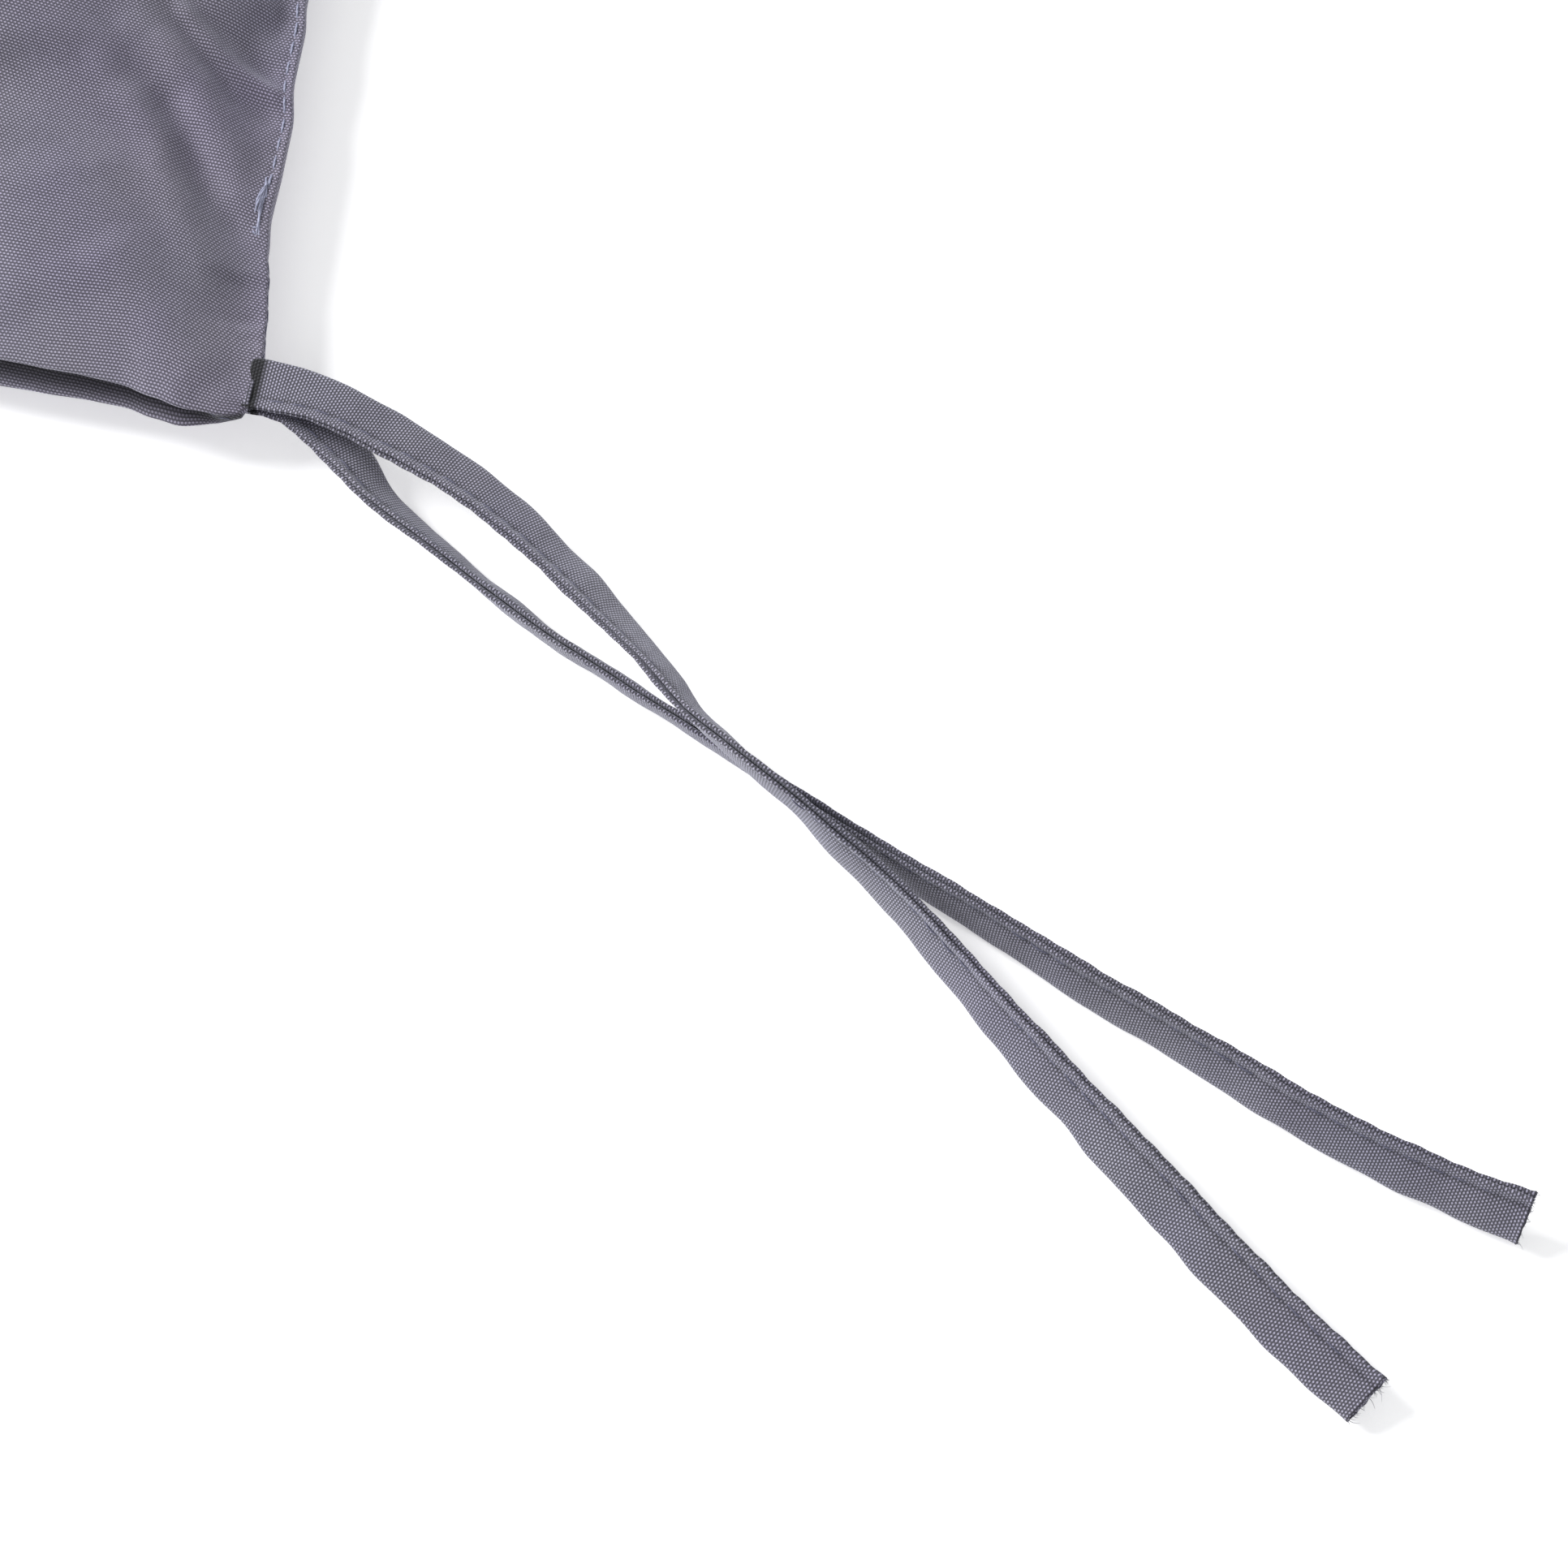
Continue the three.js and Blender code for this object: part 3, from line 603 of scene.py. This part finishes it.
def cloth_lengths(points, columns, rows):
    """UV in metres of cloth: distance along the grid's lines both ways, from the pad's middle. Each
    step is first averaged with its neighbours across the line, so that the threads run smoothly
    over small folds."""
    step_u = evened(np.linalg.norm(np.diff(points, axis=1), axis=2))
    step_v = evened(np.linalg.norm(np.diff(points, axis=0), axis=2).T).T
    u = np.hstack([np.zeros((len(points), 1)), np.cumsum(step_u, 1)])
    v = np.vstack([np.zeros((1, points.shape[1])), np.cumsum(step_v, 0)])
    middle_u, middle_v = np.argmin(np.abs(columns)), np.argmin(np.abs(rows))
    return np.stack([u - u[:, middle_u : middle_u + 1], v - v[middle_v : middle_v + 1]], -1)


def pad_cover(shape, material):
    """The cover: both faces on one grid, moved as the simulation says, sewn together all round.
    Its painted shade, which darkens the seam's groove, is a bell curve of the distance to the seam at
    the sides and in front."""
    px = py = pad_lines(shape.fine * 1000, shape.coarse * 1000)
    grid_y, grid_x = np.meshgrid(py, px, indexing="ij")
    faces = [cover_points(grid_x, grid_y, face, shape) for face in (1, -1)]
    knots, *moves = puff(shape)
    weights = cubic_weights(px, knots)
    corner = np.hypot(HALF - grid_x, HALF - grid_y)
    keep = (shape.corner_ease + (1 - shape.corner_ease) * ease((corner - 45) / 70))[..., None]
    hem = ease(np.minimum(HALF - np.abs(grid_x), HALF - np.abs(grid_y)) / 7)[..., None]
    for points, move in zip(faces, moves):
        points += np.einsum("ri,ijk,cj->rck", weights, move, weights) * keep * hem
    top, under = faces
    top, under = top / 1000, under / 1000
    under[..., 2] = above_seat(under[..., 2])
    rows, columns = grid_x.shape
    quads, under_quads, inner = joined_faces(rows, columns)
    points = np.vstack([top.reshape(-1, 3), under.reshape(-1, 3)[inner]])
    uv = np.vstack([cloth_lengths(p, px, py).reshape(-1, 2) for p in (top, under)])
    uv_quads = np.vstack([quads, quads[:, ::-1] + rows * columns])
    all_quads = np.vstack([quads, under_quads[:, ::-1]])
    # Painted shade in the seam's groove at the sides and in front.
    to_side, to_front = HALF - np.abs(grid_x), np.where(grid_y < 0, HALF + grid_y, 99)
    painted_shade = np.exp(-((np.minimum(to_side, to_front) / 0.84) ** 2)).ravel()
    painted_shade = np.r_[painted_shade, painted_shade[inner]].astype(np.float32)
    return make_piece("seat_pad_cover", points, all_quads, uv, uv_quads, material, painted_shade)


def wadding_sheet(name, number, count, shape, material):
    """One of the sheets of fibre inside: the space between the faces is shared out evenly, and the
    sheet's two sides and its rounded rim are waved by sines."""
    reach, lines = HALF - 15, 61
    line = np.linspace(-reach, reach, lines)
    py, px = np.meshgrid(line, line, indexing="ij")
    top, under = (cover_points(px, py, face, shape) for face in (1, -1))
    low, high = under[..., 2] + 1.2, top[..., 2] - 1.6
    sheet = (high - low) / count
    rim = ease((reach + 0.5 - np.maximum(np.abs(px), np.abs(py))) / 9)
    wave = 0.35 * np.sin(px / 7.3 + number) * np.sin(py / 6.1 + 2 * number)
    middle = low + sheet * (number + 0.5)
    half = sheet * (0.12 + 0.36 * rim)
    sides = []
    for face, cover in ((1, top), (-1, under)):
        plan = cover[..., :2] * 0.5 + top[..., :2] * 0.5
        sides.append(np.dstack([plan, middle + face * half + wave * rim * 0.5]) / 1000)
    quads, under_quads, inner = joined_faces(lines, lines)
    points = np.vstack([sides[0].reshape(-1, 3), sides[1].reshape(-1, 3)[inner]])
    return make_piece(name, points, np.vstack([quads, under_quads[:, ::-1]]), None, None, material)


def cover_stitches(name, places, face, shape, thick, material, seed):
    """Stitches laid on the cover: each is an arch over the cloth, a root of a sine, between two
    places in the seam's own (px, py) plan."""
    t = np.linspace(0, 1, 9)
    rng = np.random.default_rng(seed)
    flat = places[:, None, 0] + (places[:, None, 1] - places[:, None, 0]) * t[None, :, None]
    points = cover_points(flat[..., 0], flat[..., 1], face, shape)
    lift = -0.45 + (0.52 + rng.uniform(-0.05, 0.05, (len(places), 1))) * np.sin(math.pi * t) ** 0.45
    points[..., 2] += face * lift
    lines = points / 1000
    along = np.gradient(lines, axis=1)
    across = np.cross(along, [0, 0, 1.0])
    across /= np.linalg.norm(across, axis=-1, keepdims=True)
    above = np.broadcast_to([0, 0, 1.0], across.shape)
    radii = np.broadcast_to(thick / 2 * (0.6 + 0.4 * np.sin(math.pi * t) ** 0.4), lift.shape)
    points, quads, uv = tubes(lines, radii, across, above, 6)
    return make_piece(name, points, quads, uv, None, material)


# Finishes.


class Finish:
    """A procedural material under construction, with short ways to add its nodes."""

    def __init__(self, name, roughness, sheen=0.0, specular=0.3):
        self.material = bpy.data.materials.new(name)
        self.material.use_nodes = True
        self.tree = self.material.node_tree
        self.shader = self.tree.nodes["Principled BSDF"]
        self.shader.inputs["Roughness"].default_value = roughness
        self.shader.inputs["Specular IOR Level"].default_value = specular
        self.shader.inputs["Sheen Weight"].default_value = sheen
        self.shader.inputs["Sheen Roughness"].default_value = 0.45
        self.shader.inputs["Sheen Tint"].default_value = (0.86, 0.88, 1.0, 1.0)

    def add(self, kind, inputs=None, output=0, **settings):
        node = self.tree.nodes.new(kind)
        for key, value in settings.items():
            setattr(node, key, value)
        for key, value in (inputs or {}).items():
            if isinstance(value, bpy.types.NodeSocket):
                self.tree.links.new(value, node.inputs[key])
            else:
                node.inputs[key].default_value = value
        return node.outputs[output]

    def maths(self, operation, *values):
        return self.add("ShaderNodeMath", dict(enumerate(values)), operation=operation)

    def noise(self, vector, scale, detail=2.0):
        return self.add("ShaderNodeTexNoise", {"Vector": vector, "Scale": scale, "Detail": detail})

    def blend(self, share, first, second):
        inputs = {0: share, 6: first, 7: second}
        return self.add("ShaderNodeMix", inputs, 2, data_type="RGBA")

    def finish(self, colour, height=None, distance=0.0001, strength=1.0):
        self.tree.links.new(colour, self.shader.inputs["Base Color"])
        if height is not None:
            bump = self.add(
                "ShaderNodeBump", {"Strength": strength, "Distance": distance, "Height": height}
            )
            self.tree.links.new(bump, self.shader.inputs["Normal"])
        return self.material


def shade(colour, factor):
    return (*(min(1.0, c * factor) for c in colour), 1.0)


def plain_weave(name, colour, look, thick_along_v, crisp):
    """Plain weave. The product of a sine across each set of threads is positive or negative from
    crossing to crossing. Where it is positive the thick, wider spaced threads lie on top as beads
    with a painted highlight; where it is negative they dip under the thin ones in painted shade, and
    near zero are the holes, in darker painted shade. The square of the thick threads' sine joins the
    beads of a row. A point attribute of painted shade darkens the cloth in the bottom of a groove."""
    finish = Finish(name, look.roughness, look.sheen)
    place = finish.add("ShaderNodeUVMap", uv_map="cloth")
    parts = finish.tree.nodes.new("ShaderNodeSeparateXYZ")
    finish.tree.links.new(place, parts.inputs[0])
    body = finish.add("ShaderNodeTexCoord", output=3)
    drift = finish.maths("SUBTRACT", finish.noise(place, 190.0), 0.5)
    order = (0, 1) if thick_along_v else (1, 0)
    sines = []
    for part, pitch in zip(order, (look.open_pitch, look.close_pitch)):
        turns = finish.maths("MULTIPLY", parts.outputs[part], math.pi / pitch)
        sines.append(finish.maths("SINE", finish.maths("MULTIPLY_ADD", drift, 1.2, turns)))
    cell = finish.maths("MULTIPLY", *sines)
    ridge = finish.maths("MULTIPLY_ADD", finish.maths("MULTIPLY", sines[0], sines[0]), 1.0, -0.5)
    bead = finish.maths("ADD", cell, ridge)
    lit = finish.add(
        "ShaderNodeMapRange", {"Value": bead, 1: -0.45, 2: 0.95}, interpolation_type="SMOOTHSTEP"
    )
    sunk = finish.add(
        "ShaderNodeMapRange", {"Value": cell, 1: 0.1, 2: -0.9}, interpolation_type="SMOOTHSTEP"
    )
    height = finish.maths("MULTIPLY_ADD", sunk, 0.22, lit)
    # Lit and shaded copies of the cloth colour: painted highlight on the beads, painted shade under them
    # and in the holes; crisp strengthens both.
    under = finish.blend(sunk, shade(colour, look.gap / crisp), shade(colour, look.weft / crisp))
    woven = finish.blend(lit, under, shade(colour, look.warp * crisp))
    stretch = finish.add("ShaderNodeMapping", {"Vector": place, "Scale": (260.0, 2100.0, 1.0)})
    slub = finish.noise(stretch, 1.0, 1.0)
    stretch = finish.add("ShaderNodeMapping", {"Vector": place, "Scale": (2400.0, 300.0, 1.0)})
    slub = finish.maths("ADD", slub, finish.noise(stretch, 1.0, 1.0))
    cloud = finish.noise(body, 75.0, 3.0)
    tone = finish.maths("MULTIPLY_ADD", slub, 0.30, finish.maths("MULTIPLY_ADD", cloud, 0.24, 0.58))
    # Painted shade: the point attribute darkens the tone in grooves; slub and cloud are the cloth's own
    # uneven tone.
    painted_shade = finish.add("ShaderNodeAttribute", output=2, attribute_name="painted_shade")
    tone = finish.maths("MULTIPLY", tone, finish.maths("MULTIPLY_ADD", painted_shade, -0.97, 1.0))
    woven = finish.add(
        "ShaderNodeHueSaturation",
        {
            "Color": woven,
            "Value": tone,
            "Hue": finish.maths("MULTIPLY_ADD", finish.noise(body, 28.0), 0.04, 0.48),
            "Saturation": finish.maths("MULTIPLY_ADD", finish.noise(body, 40.0), 0.7, 0.65),
        },
    )
    fuzz = finish.maths("MULTIPLY_ADD", finish.noise(place, 9000.0, 1.0), 0.25, height)
    return finish.finish(woven, fuzz, look.weave_depth, 1.0)


def spun_thread(name, colour, look):
    """Twisted sewing thread: slanting plies, a sine of twice the turn round the thread plus the
    distance along it. The ply tops carry a painted highlight and the grooves between them painted
    shade."""
    finish = Finish(name, 0.55, 0.2, 0.4)
    parts = finish.tree.nodes.new("ShaderNodeSeparateXYZ")
    finish.tree.links.new(finish.add("ShaderNodeUVMap", uv_map="cloth"), parts.inputs[0])
    turn = finish.maths("MULTIPLY", parts.outputs[0], 4 * math.pi)
    slant = finish.maths("MULTIPLY_ADD", parts.outputs[1], 2 * math.pi / look.twist, turn)
    ply = finish.maths("MULTIPLY_ADD", finish.maths("SINE", slant), 0.5, 0.5)
    return finish.finish(
        finish.blend(ply, shade(colour, 0.72), shade(colour, 1.12)), ply, 0.00006, 0.8
    )


def fibre_sheet(name, colour):
    """Wadding: pale fibres, as two stretched noises laid over each other."""
    finish = Finish(name, 0.95, 0.3, 0.1)
    body = finish.add("ShaderNodeTexCoord", output=3)
    scale = finish.add("ShaderNodeMapping", {"Vector": body, "Scale": (400.0, 2600.0, 900.0)})
    strands = finish.noise(scale, 1.0, 4.0)
    tuft = finish.noise(body, 160.0, 3.0)
    share = finish.maths("MULTIPLY", strands, tuft)
    return finish.finish(
        finish.blend(share, shade(colour, 0.75), shade(colour, 1.05)), strands, 0.0003, 0.8
    )


# What a user would change.


def number(name, description, default, **settings):
    return FloatProperty(name=name, description=description, default=default, **settings)


def length(name, description, default, **settings):
    return number(name, description, default, unit="LENGTH", **settings)


def tint(name, description, default):
    return FloatVectorProperty(
        name=name, description=description, subtype="COLOR", size=3, default=default
    )


class SeatPadShape(bpy.types.PropertyGroup):
    height: length("Height", "Height of the filled pad", PAD_HIGH.z)
    seam: length("Seam height", "Height of the seam above the seat", 0.012)
    side_pull: length("Side pull", "How far the middle of each side is drawn in", 0.0075)
    roll: length("Lower roll", "How far the underside swells out below the seam", 0.0030)
    blunt: length("Blunt corner", "How far each corner's tip is turned in", 0.0014)
    lip: length("Lip", "Width of the flat lip behind the closing row", 0.0028)
    closing_inset: length("Closing row", "Distance of the closing row from the rear edge", 0.0025)
    closing_stitch: length("Closing stitch", "Length of a stitch of the closing row", 0.0041)
    closing_thread: length("Closing thread", "Thickness of the closing row's thread", 0.00046)
    pressure: number("Fill pressure", "Pressure that blows up the cover", 4.0)
    ease_in_cloth: number(
        "Spare cloth", "Share by which the cover is cut too large", 0.03, subtype="FACTOR"
    )
    cap: length("Largest move", "Limit of how far the filling moves the cover", 0.006)
    corner_ease: number(
        "Corner ease", "Share of the puckers kept at the right rear corner", 0.10, subtype="FACTOR"
    )
    fine: length("Fine step", "Grid step near the right rear corner", 0.001)
    coarse: length("Coarse step", "Grid step elsewhere", 0.0035)


class SeatPadTies(bpy.types.PropertyGroup):
    thickness: length("Thickness", "Thickness of a tie at its fold", 0.0026)
    root_ply: length("Root thickness", "Thickness of a tie where it leaves the seam", 0.0012)
    swell_length: length("Swell", "Length over which a tie fills out", 0.022)
    cloth: length("Cloth", "Thickness of one layer of cloth", 0.00024)
    stitch: length("Stitch", "Length of a stitch along the tie", 0.0045)
    thread: length("Thread", "Thickness of the sewing thread", 0.00032)
    step: length("Step", "Distance between rows of points along a tie", 0.00052)


class SeatPadFabric(bpy.types.PropertyGroup):
    cover_colour: tint("Cover", "Colour of the cover cloth", (0.205, 0.190, 0.250))
    tie_colour: tint("Ties", "Colour of the ties' cloth", (0.160, 0.154, 0.197))
    thread_colour: tint("Thread", "Colour of the sewing thread", (0.105, 0.105, 0.160))
    closing_colour: tint("Closing thread", "Colour of the closing row's thread", (0.29, 0.30, 0.41))
    wadding_colour: tint("Wadding", "Colour of the filling", (0.85, 0.84, 0.8))
    close_pitch: length(
        "Close threads", "Spacing of the closer set of threads", 0.00035, precision=5
    )
    open_pitch: length("Open threads", "Spacing of the wider set of threads", 0.00056, precision=5)
    weave_depth: length("Weave depth", "Height of a thread over the holes", 0.00016, precision=5)
    # warp, weft and gap scale the cloth colour into painted highlight on the threads on top and painted
    # shade under them and in the holes.
    warp: number("Thick threads", "Brightness of the wider spaced threads", 1.72)
    weft: number("Thin threads", "Brightness of the closer threads", 0.70)
    gap: number("Holes", "Brightness of the holes between threads", 0.34)
    roughness: number("Roughness", "How dull the cloth is", 0.72, subtype="FACTOR")
    sheen: number("Sheen", "Strength of the soft glow at grazing angles", 0.35, subtype="FACTOR")
    twist: length("Thread twist", "Length of one turn of the sewing thread", 0.0011, precision=5)


class SeatPadStage(bpy.types.PropertyGroup):
    floor_colour: tint("Floor", "Colour of the floor", (0.93, 0.93, 0.93))
    floor_glow: number("Floor glow", "Light given off by the floor, as on a light table", 0.42)
    sky: number("Ambient light", "Strength of the light from all round", 0.50)
    key_power: number("Main light", "Power of the large soft light", 42.0, unit="POWER")
    fill_power: number("Fill light", "Power of the light beside the camera", 2.0, unit="POWER")
    lens: number("Lens", "Focal length on a 36 mm sensor, in millimetres", 110.0)


# Operators.

# The camera's direction from its target in degrees: the turn from -Y towards +X, and the rise over
# the floor. Distances and places are in metres.
CAMERA_TURN = 100.4
CAMERA_RISE = 66
CAMERA_DISTANCE = 0.837
CAMERA_TARGET = (0.2446, 0.3035, 0)
LIT_PLACE = (0.2, 0.25, 0)


class SEATPAD_OT_stage(bpy.types.Operator):
    """Make the floor, the lights and the camera"""

    bl_idname = "seatpad.stage"
    bl_label = "Stage"

    def execute(self, context):
        look = context.scene.seat_pad_stage
        scene = context.scene
        half, below = 4.0, -0.0004
        corners = [(-half, -half), (half, -half), (half, half), (-half, half)]
        mesh = bpy.data.meshes.new("floor")
        mesh.from_pydata([(x, y, below) for x, y in corners], [], [(0, 1, 2, 3)])
        floor = bpy.data.objects.new("floor", mesh)
        scene.collection.objects.link(floor)
        paper = Finish("floor_paper", 0.9, 0.0, 0.1)
        grain = paper.noise(paper.add("ShaderNodeTexCoord", output=3), 900.0)
        colour = look.floor_colour
        paper.shader.inputs["Emission Color"].default_value = shade(colour, 1)
        paper.shader.inputs["Emission Strength"].default_value = look.floor_glow
        mesh.materials.append(
            paper.finish(paper.blend(grain, shade(colour, 0.99), shade(colour, 1.01)))
        )

        world = bpy.data.worlds.new("studio")
        world.use_nodes = True
        back = world.node_tree.nodes["Background"]
        back.inputs["Color"].default_value = (0.97, 0.98, 1.0, 1.0)
        back.inputs["Strength"].default_value = look.sky
        scene.world = world
        scene.view_settings.view_transform = "Standard"

        for name, place, size, power in (
            ("main_light", (-0.1, -1.05, 1.02), 0.9, look.key_power),
            ("fill_light", (1.1, 0.25, 1.0), 0.8, look.fill_power),
        ):
            light = bpy.data.lights.new(name, "AREA")
            light.shape = "DISK"
            light.size = size
            light.energy = power
            lamp = bpy.data.objects.new(name, light)
            lamp.location = place
            way = Vector(LIT_PLACE) - Vector(place)
            lamp.rotation_euler = way.to_track_quat("-Z", "Y").to_euler()
            scene.collection.objects.link(lamp)

        camera = bpy.data.objects.new("camera", bpy.data.cameras.new("camera"))
        camera.data.lens = look.lens
        camera.data.sensor_width = 36.0
        turn, rise = math.radians(CAMERA_TURN), math.radians(CAMERA_RISE)
        flat = math.cos(rise)
        out = Vector((math.sin(turn) * flat, -math.cos(turn) * flat, math.sin(rise)))
        camera.location = Vector(CAMERA_TARGET) + out * CAMERA_DISTANCE
        camera.rotation_euler = (-out).to_track_quat("-Z", "Y").to_euler()
        scene.collection.objects.link(camera)
        scene.camera = camera
        return {"FINISHED"}


class SEATPAD_OT_ties(bpy.types.Operator):
    """Make the four free ties with their stitches and frayed ends"""

    bl_idname = "seatpad.ties"
    bl_label = "Ties"

    def execute(self, context):
        look, fabric = context.scene.seat_pad_ties, context.scene.seat_pad_fabric
        colour = fabric.tie_colour
        cloth = plain_weave("tie_cloth_weave", colour, fabric, thick_along_v=False, crisp=1.28)
        thread = spun_thread("tie_thread", fabric.thread_colour, fabric)
        fibre = spun_thread("tie_fibre", fabric.thread_colour, fabric)
        for node, x in (("tie_fold_right", TIE_X), ("tie_fold_left", -TIE_X)):
            fold = tie_fold(node + "_cloth", x, context.scene.seat_pad_shape, look, cloth)
            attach(fold, "root")
            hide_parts(node)
        for seed, (node, route) in enumerate(TIE_ROUTES.items()):
            tie = TieLine(route, TIE_HIDDEN)
            flare = 0.15 if node.endswith("upper") else 0.8
            seed = 100 * seed + 7
            strip = tie_surface(node + "_cloth", tie, look, seed, flare, cloth)
            needle = tie_stitches(node + "_needle_stitches", tie, look, seed, 1, flare, thread)
            bobbin = tie_stitches(node + "_bobbin_stitches", tie, look, seed + 1, -1, flare, thread)
            ends = fray(node + "_frayed_end", tie, look, seed, flare, fibre)
            for piece, slot in (
                (strip, "tie_cloth"), (needle, "thread"), (bobbin, "thread"), (ends, "tie_cloth")
            ):
                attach(piece, "root")
            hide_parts(node)
            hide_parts(node + "_needle_thread")
            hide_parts(node + "_bobbin_thread")
        return {"FINISHED"}


class SEATPAD_OT_cover(bpy.types.Operator):
    """Make the padded cover, blown up by a cloth simulation"""

    bl_idname = "seatpad.cover"
    bl_label = "Cover"

    def execute(self, context):
        shape, fabric = context.scene.seat_pad_shape, context.scene.seat_pad_fabric
        colour = fabric.cover_colour
        cloth = plain_weave("cover_cloth_weave", colour, fabric, thick_along_v=True, crisp=1.03)
        cover = pad_cover(shape, cloth)
        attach(cover, "root")
        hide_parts("top_panel", "bottom_panel")
        return {"FINISHED"}


class SEATPAD_OT_filling(bpy.types.Operator):
    """Make the sheets of wadding inside the cover"""

    bl_idname = "seatpad.filling"
    bl_label = "Filling"

    def execute(self, context):
        shape, fabric = context.scene.seat_pad_shape, context.scene.seat_pad_fabric
        fibre = fibre_sheet("wadding_fibre", fabric.wadding_colour)
        nodes = sorted(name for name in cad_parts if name.startswith("wadding_"))
        for number, node in enumerate(nodes):
            sheet = wadding_sheet(node + "_fleece", number, len(nodes), shape, fibre)
            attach(sheet, "root")
            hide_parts(node)
        return {"FINISHED"}


class SEATPAD_OT_seams(bpy.types.Operator):
    """Make the seam's stitches, the closing row and its back-tacked ends"""

    bl_idname = "seatpad.seams"
    bl_label = "Seams"

    def execute(self, context):
        scene = context.scene
        shape, look, fabric = scene.seat_pad_shape, scene.seat_pad_ties, scene.seat_pad_fabric
        thread = spun_thread("seam_thread_twist", fabric.thread_colour, fabric)
        bold = spun_thread("closing_thread_twist", fabric.closing_colour, fabric)
        pitch, inset = shape.closing_stitch * 1000, HALF - shape.closing_inset * 1000
        half = round(150 / pitch)
        hole = np.arange(-half, half + 1) * pitch
        ends = np.stack([hole[:-1] + 0.1, hole[1:] - 0.1], -1)
        row = np.stack([ends, np.full_like(ends, inset)], -1)
        rng = np.random.default_rng(5)
        tack_start = 148
        for node, face in (("closing_needle_thread", 1), ("closing_bobbin_thread", -1)):
            tack = np.sort(rng.uniform(tack_start, 163, (11, 2)), 1)
            spread = rng.uniform(-0.7, 1.2, (11, 2)) + 0.06 * (tack - tack_start)
            tacks = np.stack([tack, inset - spread], -1)
            mirror = tacks * [-1, 1]
            places = np.vstack([row, tacks, mirror])
            name = node.replace("thread", "stitches")
            stitches = cover_stitches(name, places, face, shape, shape.closing_thread, bold, 31)
            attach(stitches, "root")
            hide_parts(node)
        step = 3.2
        lines = []
        for side in range(4):
            along = np.arange(4 - HALF, HALF - 4, step)
            if side == 2:
                along = along[np.abs(along + step / 2) > 165]
            ends = np.stack([along + 0.3, along + step - 0.3], -1)
            edge = np.full_like(ends, HALF - 0.1)
            plan = [(ends, -edge), (edge, ends), (ends, edge), (-edge, ends)][side]
            lines.append(np.stack(plan, -1))
        places = np.vstack(lines)
        seam = cover_stitches("seam_stitches", places, 1, shape, look.thread, thread, 77)
        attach(seam, "root")
        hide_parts("seam_thread")
        return {"FINISHED"}


class SEATPAD_PT_panel(bpy.types.Panel):
    """The seat pad's pieces and their sizes"""

    bl_label = "Seat Pad"
    bl_idname = "SEATPAD_PT_panel"
    bl_space_type = "VIEW_3D"
    bl_region_type = "UI"
    bl_category = "Seat Pad"

    def draw(self, context):
        for operator in OPERATORS:
            self.layout.operator(operator.bl_idname)
        for name, kind in GROUPS.items():
            box = self.layout.box()
            box.label(text=name.replace("_", " ").capitalize())
            for key in kind.__annotations__:
                box.prop(getattr(context.scene, name), key)


OPERATORS = (
    SEATPAD_OT_stage,
    SEATPAD_OT_ties,
    SEATPAD_OT_cover,
    SEATPAD_OT_filling,
    SEATPAD_OT_seams,
)
GROUPS = {
    "seat_pad_shape": SeatPadShape,
    "seat_pad_ties": SeatPadTies,
    "seat_pad_fabric": SeatPadFabric,
    "seat_pad_stage": SeatPadStage,
}


def register():
    for kind in (*GROUPS.values(), *OPERATORS, SEATPAD_PT_panel):
        bpy.utils.register_class(kind)
    for name, kind in GROUPS.items():
        setattr(bpy.types.Scene, name, PointerProperty(type=kind))


def unregister():
    for name in GROUPS:
        delattr(bpy.types.Scene, name)
    for kind in (*GROUPS.values(), *OPERATORS, SEATPAD_PT_panel):
        bpy.utils.unregister_class(kind)


def main():
    register()
    bpy.ops.seatpad.stage()
    bpy.ops.seatpad.ties()
    bpy.ops.seatpad.cover()
    bpy.ops.seatpad.filling()
    bpy.ops.seatpad.seams()


if __name__ == "__main__":
    main()
